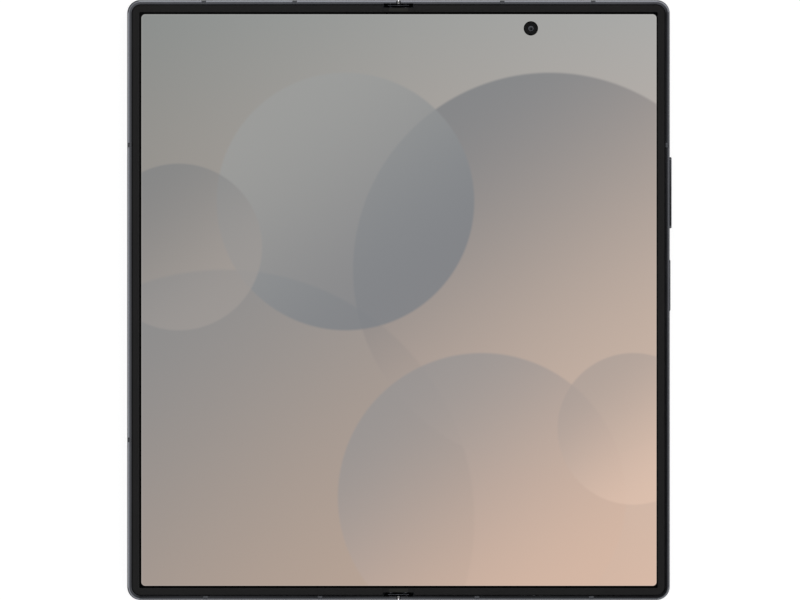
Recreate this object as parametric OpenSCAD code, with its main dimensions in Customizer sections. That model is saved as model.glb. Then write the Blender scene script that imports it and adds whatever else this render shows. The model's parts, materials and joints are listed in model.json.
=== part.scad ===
// Folding smartphone that opens like a book, modelled open and flat on its back.
// The origin lies under the middle of the hinge, on the surface that the phone
// rests on: +X to the right, +Y up the screen, +Z out of the screen. Millimetres.
// Each half turns 90 degrees about its own axis, which runs just under the
// screen, so the screen bends between them and the two faces meet when shut.

/* [Body] */
// Width of one half, from the middle of the seam to its outer edge
half_w = 71.6; // [68:0.1:76]
// Height of the phone
body_h = 158.4; // [152:0.1:166]
// Thickness of one half
body_t = 4.2; // [4.1:0.05:4.6]
// Outer corner radius
corner_r = 3.5; // [3.4:0.1:6]
// Thickness of the metal side wall
wall_t = 1.15; // [1:0.05:1.3]
// Rounding of the wall's edge at the back
back_edge_r = 0.5; // [0.3:0.05:0.6]
// Rounding of the wall's edge at the screen side
front_edge_r = 0.26; // [0.2:0.02:0.3]
// Width of the rounding and the bevel on the rim together
rim_bevel = 0.55; // [0.45:0.05:0.7]
// Slope of the rim's bevel, in degrees
rim_slope = 20; // [15:1:30]
// Gap between the two halves at the seam when open
seam_gap = 0.3; // [0.2:0.05:0.4]
// Thickness of the rear glass and of the cover glass
glass_t = 0.5; // [0.4:0.05:0.6]
// Thickness of the metal middle plates
plate_t = 0.5; // [0.4:0.05:0.6]
// Width of each plastic antenna break in the side wall
break_w = 1.2; // [0.8:0.1:2]

/* [Hinge] */
// Height of the two fold axes above the back face
axis_h = 3.1; // [3:0.02:3.2]
// Gap between the two rims when shut
fold_gap = 0.5; // [0.4:0.05:0.8]
// Thickness of the lip that hides the hinge cover at the back
lip_t = 0.55; // [0.5:0.01:0.62]
// Thickness of the hinge cover
cover_t = 0.25; // [0.2:0.01:0.3]
// Thickness of the hinge cover's end walls
cover_end_t = 0.8; // [0.6:0.1:1]
// Length of the frame's end wall that the hinge cover stops short of
end_wall_t = 0.92; // [0.8:0.02:1]
// Width of a swing arm along the hinge
arm_w = 8; // [6:0.5:10]
// Thickness of an arm's rail, across its arc
rail_t = 0.45; // [0.35:0.01:0.47]
// Thickness of an arm's pad
pad_t = 0.5; // [0.4:0.05:0.55]
// Reach of an arm's pad from the seam
pad_reach = 15; // [14:0.5:16]
// Distance of the outer hinge modules from the top and bottom edges
module_inset = 17.2; // [15.5:0.1:20]
// Length of a hinge bracket
bracket_l = 14; // [13:0.5:16]
// Module of the gears that keep the halves in step
gear_m = 0.17; // [0.165:0.001:0.175]
// Teeth on each gear
gear_teeth = 8; // [8:1:8]
// Width of each gear
gear_w = 2.4; // [1.6:0.2:3]
// Radius of the gear shafts
shaft_r = 0.35; // [0.3:0.01:0.38]
// Reach of a timing arm from the seam
sync_reach = 8.1; // [7:0.1:8.4]
// Tilt of a wing plate when shut, in degrees
wing_tilt = 4.5; // [3:0.5:5]

/* [Screen] */
// Thickness of the folding screen
screen_t = 0.6; // [0.5:0.01:0.62]
// Height of the rim above the screen
rim_rise = 0.25; // [0.2:0.01:0.3]
// Width of the plastic bezel
bezel_w = 1.85; // [1.6:0.05:2]
// Gap between the metal wall and the bezel
bezel_gap = 0.2; // [0.15:0.05:0.3]
// Half width of the zone of the screen that bends
bend_w = 4.15; // [4.05:0.05:4.6]
// Diameter of the inner camera's hole in the screen
inner_hole_d = 3.8; // [3.2:0.1:4.4]
// Distance of the inner camera from the top edge
inner_cam_top = 7.5; // [6.5:0.1:9]

/* [Cameras] */
// Height of the camera island above the rear glass
island_t = 1.6; // [1.2:0.1:2]
// Height of the lens rings above the island
ring_rise = 0.6; // [0.4:0.1:0.8]
// Width of the camera island
island_w = 18; // [17:0.5:20]
// Length of the camera island
island_l = 52; // [50:0.5:56]
// Distance from the island to the phone's top and outer edges
island_inset = 6.2; // [5.5:0.1:8]
// Distance from one lens to the next
lens_pitch = 16.8; // [16:0.1:17.4]
// Outer diameter of a lens ring
lens_d = 13.6; // [12.5:0.1:14.6]
// Diameter of the flash window
flash_d = 4.6; // [3.5:0.1:6]

/* [Keys and ports] */
// Length of the volume key
volume_l = 18.8; // [16:0.1:21]
// Distance of the volume key's middle above the phone's middle
volume_y = 28.35; // [26:0.05:31]
// Length of the power key
power_l = 13.5; // [11:0.1:14.5]
// Distance of the power key's middle above the phone's middle
power_y = 3.88; // [1:0.02:6]
// Height of the keys, across the phone's thickness
key_h = 1.5; // [1.2:0.05:1.6]
// Height of the volume key above the side wall
volume_rise = 0.55; // [0.4:0.05:0.7]
// Height of the power key above the side wall
power_rise = 0.25; // [0.25:0.05:0.5]
// Clearance around each key
key_gap = 0.1; // [0.08:0.01:0.15]
// Width of the USB-C opening
usb_w = 8.34; // [8.34:0.01:8.4]
// Height of the USB-C opening
usb_h = 2.56; // [2.5:0.01:2.58]
// Depth of the USB-C socket
usb_depth = 7.2; // [6.6:0.1:8]
// Width of the SIM tray's head
tray_head_w = 14; // [13.5:0.1:16]
// Height of the SIM tray's head
tray_head_h = 1.9; // [1.7:0.05:2]
// Length of the SIM tray behind its head
tray_l = 17; // [16:0.1:19]
// Radius of the SIM tray's release hole
eject_r = 0.45; // [0.4:0.01:0.5]
// Diameter of the loudspeaker holes
grille_d = 1.1; // [0.8:0.1:1.4]

/* [Hidden] */

// Colours
graphite = [0.16, 0.17, 0.2];
soft_black = [0.13, 0.13, 0.13];
steel = [0.66, 0.67, 0.7];
brass = [0.78, 0.66, 0.36];
board_green = [0.1, 0.24, 0.2];
foil = [0.3, 0.31, 0.33];
deep_black = [0.02, 0.02, 0.025];
wallpaper = [0.72, 0.65, 0.6];

// Levels above the back face of the body, and where that face lies
z_back = island_t + ring_rise;
half_h = body_h / 2;
module_y = half_h - module_inset;
seam = seam_gap / 2;
axis_x = fold_gap / 2 + body_t - axis_h;
pocket_r = axis_h - lip_t;
spine_gap = 0.1;
spine_r = pocket_r - spine_gap;
cover_in_r = spine_r - cover_t;
cover_floor = axis_h - cover_in_r;
glue = 0.05;
screen_top = body_t - rim_rise;
screen_bottom = screen_top - screen_t;
support_t = 0.28;
support_top = screen_bottom - glue;
support_bottom = support_top - support_t;
plate_top = screen_bottom - 3 * glue;
plate_bottom = plate_top - plate_t;
pad_top = plate_bottom - glue;
pad_bottom = pad_top - pad_t;
cover_edge = pad_bottom - spine_gap;
bracket_top = support_bottom - glue;

// Insides of a half, measured from the seam (x) and from its outer edge (u)
ledge_w = 1.05;
shelf_w = 1.85;
shelf_u = wall_t + shelf_w;
ledge_z = glass_t + glue;
ledge_t = 0.45;
glass_x = 4.65;
hinge_wall_x = 5.2;
cell_x = pad_reach + 1;
room_bottom = glass_t + 0.25;
room_top = plate_bottom - glue;
board_top = room_top - 0.15;
plate_x = 11;
glass_gap = 0.05;
screen_u = 1.75;
bezel_u = wall_t + bezel_gap;
trim_end = end_wall_t + 1.08;
spine_half_l = half_h - end_wall_t - spine_gap;
pin_x = 10.5;
pin_r = 0.2;
pin_l = 4;
pin_z = support_bottom - 0.17;
tab_w = 1.6;
running = 0.04;
wing_x = [2.2, 10.2];
wing_inset = 3.8;
wing_pins = [for (e = [-1, 1], d = [9.5, -27]) e * (module_y + d)];
modules = [module_y, 0, -module_y];

// Gears: a row of four across the hinge, the outer two carrying the timing arms
// (stub teeth with a steep flank, so that so few of them mesh without an undercut)
pressure = 28;
gear_r = gear_m * gear_teeth / 2;
gear_tip = gear_r + 0.8 * gear_m;
gear_root = gear_r - 1.1 * gear_m;
sync_x = 3 * gear_r;
gear_z = axis_h - sqrt(pow(cover_in_r - spine_gap - gear_tip, 2) - pow(sync_x - axis_x, 2));
gear_y = module_y - bracket_l / 2 - spine_gap - gear_w / 2;
bearing_t = 1.6;
sync_z = [gear_z + 0.3, gear_z + 0.8];
stack_l = 4.4;
nut_r = 0.6;
stack_r = 0.8;
stack_discs = 6;

// ---------------------------------------------------------------- helpers
// A box from one corner to the other
module box(x, y, z) {
    translate([x[0], y[0], z[0]])
        cube([x[1] - x[0], y[1] - y[0], z[1] - z[0]]);
}

// The two ends of a stretch that reaches w to each side of c
function span(c, w) = [c - w, c + w];

// A round bar along Y
module rod(x, z, r, y) {
    translate([x, y[1], z])
        rotate([90, 0, 0])
            cylinder(r = r, h = y[1] - y[0], $fn = 48);
}

// A flat outline in X and Z, drawn out along Y
module along_y(y) {
    translate([0, y[1], 0])
        rotate([90, 0, 0])
            linear_extrude(y[1] - y[0])
                children();
}

// Points of an arc
function arc(c, r, a0, a1, n = 6) =
    [for (i = [0:n]) c + r * [cos(a0 + (a1 - a0) * i / n), sin(a0 + (a1 - a0) * i / n)]];

// Points of a rectangle with its corners rounded by r, or [r left, r right]
function rounded(x, y, r) =
    let (l = is_list(r) ? r[0] : r, m = is_list(r) ? r[1] : r)
    concat(
        arc([x[1] - m, y[1] - m], m, 0, 90),
        arc([x[0] + l, y[1] - l], l, 90, 180),
        arc([x[0] + l, y[0] + l], l, 180, 270),
        arc([x[1] - m, y[0] + m], m, 270, 360));

// A flat slab with rounded corners
module slab(x, y, z, r) {
    translate([0, 0, z[0]])
        linear_extrude(z[1] - z[0])
            polygon(rounded(x, y, r));
}

// A slot with round ends through a side wall that faces Y, or along Z
module slot_y(x, z, w, h, y) {
    along_y(y)
        translate([x, z]) {
            square([w - h, h], center = true);
            for (s = [-1, 1]) translate([s * (w - h) / 2, 0]) circle(d = h, $fn = 48);
        }
}

// Draws for the right half as it is, and for the left half mirrored
module side(s) {
    mirror([s < 0 ? 1 : 0, 0, 0]) children();
}

// Everything is drawn from the body's back face, then lifted onto its place
module seat() {
    translate([0, 0, z_back]) children();
}

// Both ends, top and bottom
module both_ends() {
    children();
    mirror([0, 1, 0]) children();
}

// ------------------------------------------------------------ side walls
// Height of the front rounding's centre, so that it runs smoothly into the bevel
rim_round_z = body_t - front_edge_r * cos(rim_slope)
    - (rim_bevel - front_edge_r * (1 - sin(rim_slope))) * tan(rim_slope);

// Outline of the side wall: u runs inward from the outer face, v up from the back
wall_section = concat(
    arc([back_edge_r, back_edge_r], back_edge_r, 270, 180),
    arc([front_edge_r, rim_round_z], front_edge_r, 180, 90 + rim_slope),
    [[rim_bevel, body_t], [wall_t, body_t], [wall_t, 0]]);

// The two shelves inside the wall, for the middle plate and the glass
shelf_section = [[wall_t - 0.1, plate_bottom], [shelf_u, plate_bottom], [shelf_u, plate_top],
                 [wall_t - 0.1, plate_top]];
ledge_section = [[wall_t - 0.1, ledge_z], [wall_t + ledge_w, ledge_z],
                 [wall_t + ledge_w, ledge_z + ledge_t], [wall_t - 0.1, ledge_z + ledge_t]];

function outward(section) = [for (p = section) [-p[0], p[1]]];
function about_corner(section) = [for (p = section) [corner_r - p[0], p[1]]];

// Sweeps an outline round the three outer sides of the right half
module around_half(section) {
    side_l = body_h - 2 * corner_r;
    end_l = half_w - corner_r - seam;
    translate([half_w, 0, 0])
        along_y([-side_l / 2, side_l / 2])
            polygon(outward(section));
    both_ends() {
        translate([seam, half_h, 0])
            rotate([0, 0, 90])
                along_y([-end_l, 0])
                    polygon(outward(section));
        translate([half_w - corner_r, half_h - corner_r, 0])
            rotate_extrude(angle = 90, $fn = 64)
                polygon(about_corner(section));
    }
}

// Where the plastic breaks cut the wall: distances from the middle
top_breaks = [27.4, half_w - 20.2];
bottom_breaks = [20.7, half_w - 20.7];
left_breaks = [40.9, -36.9];
right_breaks = [40.9];

module break_slots(s) {
    deep = wall_t - 0.1;
    for (x = top_breaks)
        box([x - break_w / 2, x + break_w / 2], [half_h - deep, half_h + 1], [-1, body_t + 1]);
    for (x = bottom_breaks)
        box([x - break_w / 2, x + break_w / 2], [-half_h - 1, deep - half_h], [-1, body_t + 1]);
    for (y = s < 0 ? left_breaks : right_breaks)
        box([half_w - deep, half_w + 1], [y - break_w / 2, y + break_w / 2], [-1, body_t + 1]);
}

module antenna_breaks(s) {
    color(soft_black) seat() side(s)
        intersection() {
            around_half(wall_section);
            break_slots(s);
        }
}

// Space inside a half that the hinge cover and its brackets turn in
module hinge_pocket() {
    y = half_h - end_wall_t;
    rod(axis_x, axis_h, pocket_r, [-y, y]);
    box([seam - 1, axis_x], [-y, y], [lip_t, body_t + 1]);
    box([axis_x - 0.01, axis_x + pocket_r], [-y, y], [axis_h, body_t + 1]);
}

// Rounds the front corners at the seam, so that the halves clear each other
module seam_rounding() {
    y = half_h + 1;
    difference() {
        box([seam - 1, axis_x], [-y, y], [axis_h, body_t + 1]);
        rod(axis_x, axis_h, axis_x - spine_gap / 2, [-y - 1, y + 1]);
    }
}

module frame_half() {
    difference() {
        union() {
            around_half(wall_section);
            around_half(shelf_section);
            around_half(ledge_section);
            along_y([-half_h, half_h])
                polygon(concat(
                    [[glass_x, 0], [glass_x, ledge_z], [hinge_wall_x, ledge_z],
                     [hinge_wall_x, pad_bottom], [seam, pad_bottom]],
                    arc([seam + back_edge_r, back_edge_r], back_edge_r, 180, 270)));
            for (y = modules)
                box([hinge_wall_x - 0.1, pad_reach], [y - arm_w / 2 - 1, y + arm_w / 2 + 1],
                    [ledge_z, pad_bottom]);
        }
        hinge_pocket();
        seam_rounding();
        // Arm screws
        for (p = arm_screws) rod_z(p, screw_r, [ledge_z - 1, pad_top]);
        // Room for the timing arms
        both_ends()
            box([seam, hinge_wall_x + 1], [gear_y - gear_w / 2 - 0.4, gear_y + gear_w / 2 + 0.4],
                [gear_z - 0.05, body_t]);
        hinge_side_trim();
    }
}

// What lies outside the wall's rounded back edge
edge_waste = concat([[-1, -1], [back_edge_r, -1]],
                    arc([back_edge_r, back_edge_r], back_edge_r, 270, 180),
                    [[-1, back_edge_r]]);

// Rounds the ends of the hinge side as the end walls are
module hinge_side_trim() {
    both_ends()
        translate([seam - 1, half_h, 0])
            rotate([0, 0, 90])
                along_y([-hinge_wall_x - 1, 0])
                    polygon(outward(edge_waste));
}

// A round bar along Z
module rod_z(p, r, z) {
    translate([p[0], p[1], z[0]]) cylinder(r = r, h = z[1] - z[0], $fn = 32);
}

// ---------------------------------------------------------------- hinge
// Outline of the hinge: two round flanks joined by a flat back, up to a level
module spine_outline(r, top) {
    intersection() {
        union() {
            for (s = [-1, 1]) translate([s * axis_x, axis_h]) circle(r = r, $fn = 96);
            translate([-axis_x, axis_h - r]) square([2 * axis_x, 2 * r]);
        }
        translate([-10, 0]) square([20, top]);
    }
}

// Web on each end of the cover, as high as the turning end walls leave room for
web_w = seam - glue;
web_top = axis_h - 2 * glue
    - sqrt(max(0, pow(axis_x - spine_gap / 2, 2) - pow(axis_x - web_w, 2)));
web_inset = 0.35;
crest_r = 0.16;
crest_l = 2 * (axis_x + spine_r - 1);

module hinge_cover() {
    color(graphite) seat()
        difference() {
            union() {
                along_y([-spine_half_l, spine_half_l]) spine_outline(spine_r, cover_edge);
                both_ends() {
                    along_y([spine_half_l - cover_end_t, spine_half_l])
                        spine_outline(spine_r, axis_h - glue);
                    // Web that fills the seam between the two end walls
                    box([-web_w, web_w], [spine_half_l - 0.1, half_h - web_inset],
                        [cover_floor, web_top]);
                    // Round crest along the top of the end wall
                    translate([0, spine_half_l - cover_end_t / 2, axis_h - glue])
                        rotate([0, 90, 0])
                            cylinder(r = crest_r, h = crest_l, center = true, $fn = 24);
                }
            }
            difference() {
                along_y([-spine_half_l + cover_end_t, spine_half_l - cover_end_t])
                    spine_outline(cover_in_r, body_t);
                for (p = bracket_screws) rod_z(p, boss_r, [0, cover_floor + boss_t]);
            }
            for (p = bracket_screws)
                rod_z(p, screw_r, [cover_floor - cover_t + 0.1, cover_floor + boss_t + 1]);
        }
}

rail_out_r = cover_in_r - glue;
rail_in_r = rail_out_r - rail_t;
core_r = rail_in_r - glue;
rail_angles = [-120, -16];
screw_r = 0.5;
screw_head_r = 1;
screw_head_t = 0.35;
boss_r = 0.8;
boss_t = 0.6;
bracket_screws = [for (y = modules, s = [-1, 1]) [0, y + s * (bracket_l / 2 - 1.7)]];
arm_screws = [for (y = modules, s = [-1, 1]) [pad_reach - 2.2, y + s * arm_w * 0.3]];

// Wedge of a ring, in X and Z
module ring_sector(r_in, r_out, a) {
    difference() {
        circle(r = r_out, $fn = 96);
        circle(r = r_in, $fn = 96);
        for (k = [[a[1], a[1] + 128], [a[0] - 128, a[0]]])
            polygon([[0, 0], 9 * [cos(k[0]), sin(k[0])], 9 * [cos(k[0] + 64), sin(k[0] + 64)],
                     9 * [cos(k[1]), sin(k[1])]]);
    }
}

// One hinge bracket: a block that fills the cover, with an arc groove for each arm
module bracket(y, geared) {
    color(steel) seat()
        difference() {
            along_y([y - bracket_l / 2, y + bracket_l / 2])
                intersection() {
                    spine_outline(cover_in_r - 0.02, bracket_top);
                    translate([-9, cover_floor]) square([18, 9]);
                }
            for (s = [-1, 1])
                mirror([s < 0 ? 1 : 0, 0, 0])
                    along_y([y - arm_w / 2 - spine_gap, y + arm_w / 2 + spine_gap])
                        translate([axis_x, axis_h])
                            ring_sector(core_r, cover_in_r + 1, [rail_angles[0] - 4, 30]);
            for (p = bracket_screws)
                if (abs(p[1] - y) < bracket_l) {
                    rod_z(p, boss_r + glue, [0, cover_floor + boss_t + glue]);
                    rod_z(p, screw_r, [0, body_t]);
                    rod_z(p, screw_head_r, [bracket_top - glue - screw_head_t, body_t]);
                }
            if (geared)
                mirror([0, y < 0 ? 1 : 0, 0]) gear_bores([gear_y, gear_y + gear_w / 2 + 1.2]);
        }
}

// The four gear positions across the hinge
gear_xs = [-3, -1, 1, 3] * gear_r;

module gear_bores(y) {
    for (x = gear_xs) rod(x, gear_z, shaft_r + running, y);
}

module hinge_bracket_top() { bracket(modules[0], true); }
module hinge_bracket_middle() { bracket(modules[1], false); }
module hinge_bracket_bottom() { bracket(modules[2], true); }

bearing_y = gear_y - gear_w / 2 - spine_gap - bearing_t;

// End bearings of the gear shafts
module bearing_plates() {
    color(steel) seat()
        both_ends()
            difference() {
                along_y([bearing_y, bearing_y + bearing_t])
                    intersection() {
                        spine_outline(cover_in_r - 0.02, bracket_top);
                        translate([-9, cover_floor]) square([18, 9]);
                    }
                gear_bores([bearing_y - 1, bearing_y + bearing_t + 1]);
            }
}

module hinge_screws() {
    color(steel) seat()
        for (p = bracket_screws) {
            rod_z(p, screw_r - 0.03, [cover_floor - cover_t + 0.15, bracket_top - 0.1]);
            rod_z(p, screw_head_r - glue, [bracket_top - glue - screw_head_t, bracket_top - glue]);
        }
}

// Strip that carries the middle of the fold, on top of the brackets
module centre_plate() {
    color(steel) seat()
        difference() {
            box([-2, 2], [-half_h + wing_inset, half_h - wing_inset], [support_bottom, support_top]);
            for (s = [-1, 1])
                mirror([s < 0 ? 1 : 0, 0, 0])
                    both_ends()
                        box([0.95, 3], [gear_y - gear_w / 2 - 0.4, gear_y + gear_w / 2 + 0.4],
                            [0, body_t]);
            // Relief slots that make the strip springy along its length
            for (y = [-half_h + 10:8:half_h - 10])
                box([-0.15, 0.15], [y, y + 5], [0, body_t]);
        }
}

// Disc springs and their end nut, which press on the bearing plate
module friction_springs() {
    step = (stack_l - glue) / stack_discs;
    inner = shaft_r + running + 0.02;
    zigzag = [for (i = [0:stack_discs]) [i % 2 == 0 ? inner : inner + 0.13, i * step]];
    zagzig = [for (i = [stack_discs:-1:0]) [i % 2 == 0 ? stack_r - 0.13 : stack_r, i * step]];
    color(brass) seat()
        both_ends()
            for (s = [-1, 1])
                translate([s * sync_x, bearing_y, gear_z])
                    rotate([90, 0, 0])
                        rotate_extrude($fn = 32)
                            polygon(concat(zigzag, zagzig));
}

// Involute of a circle at roll angle t, in degrees
function involute(r, t) = r * [cos(t) + t * PI / 180 * sin(t), sin(t) - t * PI / 180 * cos(t)];
function roll_at(base, r) = sqrt(max(0, pow(r / base, 2) - 1)) * 180 / PI;
function turn(p, a) = [p[0] * cos(a) - p[1] * sin(a), p[0] * sin(a) + p[1] * cos(a)];

gear_base = gear_r * cos(pressure);
// Half the angle of a tooth at its base, so that it is a little thinner than its gap
gear_play = 2.5;
tooth_half = 90 / gear_teeth - gear_play + roll_at(gear_base, gear_r) - pressure;
flank = [for (i = [0:4]) involute(gear_base, roll_at(gear_base, gear_tip) * i / 4)];

// Outline of one gear, with a tooth on the +X side
function gear_outline() = [
    for (k = [0:gear_teeth - 1])
        each concat(
            [turn([gear_root, 0], k * 360 / gear_teeth - tooth_half)],
            [for (p = flank) turn(p, k * 360 / gear_teeth - tooth_half)],
            [for (i = [4:-1:0]) turn([flank[i][0], -flank[i][1]], k * 360 / gear_teeth + tooth_half)],
            [turn([gear_root, 0], k * 360 / gear_teeth + tooth_half)])];

// A gear with its shaft; phase turns it by a share of a tooth
module gear(x, phase, back) {
    translate([x, 0, gear_z])
        along_y([gear_y - gear_w / 2, gear_y + gear_w / 2])
            rotate(phase * 360 / gear_teeth)
                polygon(gear_outline());
    rod(x, gear_z, shaft_r, [bearing_y - back, gear_y + gear_w / 2 + 1.1]);
}

// Timing arm, drawn for the right side: its gear, and a bar that slides under the wing plate
module sync_arm(s) {
    color(steel) seat() side(s)
        both_ends() {
            gear(sync_x, s > 0 ? 0 : 0.5, stack_l);
            rod(sync_x, gear_z, nut_r, [nut_end, bearing_y - stack_l]);
            along_y([gear_y - gear_w / 2, gear_y + gear_w / 2])
                polygon([[sync_x - 0.1, gear_z - 0.4], [sync_x + 0.8, gear_z - 0.15],
                         [sync_x + 1.2, sync_z[0]], [sync_reach, sync_z[0]],
                         [sync_reach, sync_z[1]], [sync_x + 0.8, sync_z[1]],
                         [sync_x - 0.1, gear_z + 0.4]]);
        }
}

module sync_arm_left() { sync_arm(-1); }
module sync_arm_right() { sync_arm(1); }

module idler_gear(s) {
    color(brass) seat() side(s)
        both_ends() gear(gear_r, s > 0 ? 0.5 : 0, 0);
}

module idler_gear_left() { idler_gear(-1); }
module idler_gear_right() { idler_gear(1); }

// Swing arms: an arc rail that runs in the bracket, and a pad screwed to the half
module swing_arms(s) {
    color(steel) seat() side(s)
        for (y = modules)
            difference() {
                along_y([y - arm_w / 2, y + arm_w / 2]) {
                    translate([axis_x, axis_h]) ring_sector(rail_in_r, rail_out_r, rail_angles);
                    neck_x = axis_x + sqrt(pow(rail_in_r, 2) - pow(axis_h - pad_top, 2)) + 0.05;
                    translate([neck_x, pad_bottom]) square([pad_reach - neck_x, pad_t]);
                }
                for (p = arm_screws) rod_z(p, screw_r, [0, body_t]);
            }
}

module swing_arms_left() { swing_arms(-1); }
module swing_arms_right() { swing_arms(1); }

module arm_screw_set(s) {
    color(steel) seat() side(s)
        for (p = arm_screws) {
            rod_z(p, screw_r - 0.03, [ledge_z + 0.2, plate_top - 0.1]);
            rod_z(p, screw_head_r - glue, [plate_top - glue - screw_head_t, plate_top - glue]);
        }
}

module left_arm_screws() { arm_screw_set(-1); }
module right_arm_screws() { arm_screw_set(1); }

// Wing plate: carries the screen beside the fold, and tilts on pins at its outer edge
module wing_plate(s) {
    color(foil) seat() side(s) {
        difference() {
            box(wing_x, [-half_h + wing_inset, half_h - wing_inset], [support_bottom, support_top]);
            for (y = modules)
                box([0, 6.2], [y - arm_w / 2 - 0.3, y + arm_w / 2 + 0.3], [0, body_t]);
            both_ends()
                box([0, sync_reach + 0.6], span(gear_y, gear_w / 2 + 0.4), [0, body_t]);
            for (y = wing_pins)
                box([pin_x - 0.8, body_t + pin_x], span(y, pin_l / 2 + 0.25), [0, body_t]);
        }
        for (y = wing_pins) {
            rod(pin_x, pin_z, pin_r, span(y, pin_l / 2));
            box([pin_x - 0.9, pin_x], span(y, tab_w / 2), [pin_z - 0.05, support_top]);
        }
    }
}

module wing_plate_left() { wing_plate(-1); }
module wing_plate_right() { wing_plate(1); }

// Ribbon cable that joins the two halves' boards over the hinge
nut_end = bearing_y - stack_l - 0.5;
flex_l = 7;
flex_y = [nut_end - 1 - flex_l, nut_end - 1];

module hinge_flex() {
    color([0.55, 0.33, 0.1]) seat()
        box(span(0, cell_x + 3), flex_y, [board_top, board_top + 0.12]);
}

// --------------------------------------------------------------- screen
module screen_fold() {
    color(wallpaper) seat()
        box([-bend_w, bend_w], span(0, half_h - trim_end), [screen_bottom, screen_top]);
}

module screen_half() {
    edge_r = corner_r - screen_u;
    slab([bend_w, half_w - screen_u], [screen_u - half_h, half_h - screen_u],
         [screen_bottom, screen_top], [0.01, edge_r]);
}

module screen_left() { color(wallpaper) seat() side(-1) screen_half(); }

module screen_right() {
    color(wallpaper) seat()
        difference() {
            screen_half();
            rod_z(inner_cam, inner_hole_d / 2, [0, body_t + 1]);
        }
}

// Soft trim over the screen's edge, between the two bezels
module fold_trim(s) {
    y = half_h - bezel_u - bezel_w;
    color(soft_black) seat()
        mirror([0, s < 0 ? 1 : 0, 0]) {
            box(span(0, bend_w - glue), [y, half_h - trim_end], [screen_top, body_t - 0.08]);
            box(span(0, 2.5), [y + 0.15, half_h - trim_end - 0.1], [body_t - 0.1, body_t]);
        }
}

module fold_trim_top() { fold_trim(1); }
module fold_trim_bottom() { fold_trim(-1); }

// Bezel: a flat ring on the screen's edge with a skirt down its outside
module bezel_half(s) {
    ring = [[bezel_u, screen_top], [bezel_u + bezel_w, screen_top],
            [bezel_u + bezel_w, body_t - 0.06], [bezel_u + bezel_w - 0.1, body_t],
            [bezel_u + 0.1, body_t], [bezel_u, body_t - 0.1]];
    skirt = [[bezel_u, plate_top], [screen_u - glue, plate_top], [screen_u - glue, screen_top + 0.1],
             [bezel_u, screen_top + 0.1]];
    color(soft_black) seat() side(s)
        difference() {
            union() {
                around_half(ring);
                around_half(skirt);
            }
            box([-1, bend_w], [-half_h, half_h], [0, body_t + 1]);
        }
}

module left_bezel() { bezel_half(-1); }

module right_bezel() {
    difference() {
        bezel_half(1);
        seat()
            box(span(usb_x, usb_w / 2 + 1), [-half_h, -half_h + shelf_u], [plate_top - 1, screen_bottom]);
    }
}

// --------------------------------------------------------------- halves
inner_cam = [34.94 / 71.6 * half_w, half_h - inner_cam_top];
island_x = half_w - island_inset - island_w / 2;
island_y = half_h - island_inset - island_l / 2;
lenses = [for (k = [1, 0, -1]) [island_x, island_y + k * lens_pitch]];
module_w = 11.4;
flash_at = [island_x - island_w / 2 - 6, lenses[0][1] - 2];
port_z = axis_h - 1.18;
usb_x = half_w / 2 + 0.2;
usb_shell = 0.12;
usb_back = wall_t - half_h + usb_depth;
speaker_x = half_w - 12.9;
speaker_w = 17;
top_speaker_l = 4.6;
bottom_speaker_l = 14;
haptic_w = 7.5;
haptic_l = 18;
sim_x = bottom_breaks[0] + break_w / 2 + tray_head_w / 2 + 1.7;
mic_r = 0.35;
sim_w = 10.4;
sim_z = [room_bottom + 0.25, room_bottom + 1.25];
tray_z = (sim_z[0] + sim_z[1]) / 2 + 0.15;
key_z = (ledge_z + ledge_t + plate_bottom) / 2;
key_flange_t = 0.35;
key_play = 0.25;
key_flange_h = plate_bottom - ledge_z - ledge_t - 2 * key_gap;

// Stops the middle plate short of what it would foul, and holds the wing pins
module plate_half() {
    x = [plate_x, half_w - shelf_u - glue];
    y = [shelf_u + glue - half_h, half_h - shelf_u - glue];
    difference() {
        union() {
            slab(x, y, [plate_bottom, plate_top], 0.4);
            for (y = wing_pins, e = [-1, 1])
                box([pin_x - 0.55, plate_x + 0.5], span(y + e * (pin_l / 2 - 0.4), 0.5),
                    [pin_z - pin_r - 0.25, support_top]);
        }
        for (y = wing_pins) {
            rod(pin_x, pin_z, pin_r + running, span(y, pin_l / 2 + 0.2));
            box([pin_x - 1, plate_x + 0.2], span(y, tab_w / 2 + 0.2), [0, body_t]);
        }
        for (p = arm_screws) {
            rod_z(p, screw_r, [0, body_t]);
            rod_z(p, screw_head_r, [plate_top - glue - screw_head_t, body_t]);
        }
    }
}

module left_plate() { color(foil) seat() side(-1) plate_half(); }

module right_plate() {
    color(foil) seat()
        difference() {
            plate_half();
            rod_z(inner_cam, inner_hole_d / 2 + 1.5, [0, body_t]);
            box(span(usb_x, usb_w / 2 + 1), [-half_h, usb_back + 0.5], [0, body_t]);
        }
}

// Loudspeaker holes in an end wall
module grille(count, end) {
    for (i = [0:count - 1])
        rod(speaker_x + (i - (count - 1) / 2) * (grille_d + 0.7), port_z, grille_d / 2,
            end > 0 ? [half_h - wall_t - 2, half_h + 1] : [-half_h - 1, wall_t + 2 - half_h]);
}

// Stops the shelves at what passes through the wall
module shelf_gap(x, end, z) {
    y = end > 0 ? [half_h - shelf_u - 0.1, half_h - wall_t] : [wall_t - half_h, shelf_u + 0.1 - half_h];
    box(x, y, z);
}

module left_frame() {
    color(graphite) seat() side(-1)
        difference() {
            frame_half();
            break_slots(-1);
            slot_y(sim_x, tray_z, tray_head_w + 2 * key_gap, tray_head_h + 2 * key_gap,
                   [-half_h - 1, wall_t - half_h]);
            shelf_gap([sim_x - sim_w / 2 - 1, sim_x + sim_w / 2 + 1], -1,
                      [ledge_z - 0.1, room_top]);
            grille(6, 1);
            rod(sim_x + 4, port_z, mic_r, [half_h - wall_t - 2, half_h + 1]);
        }
}

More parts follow.
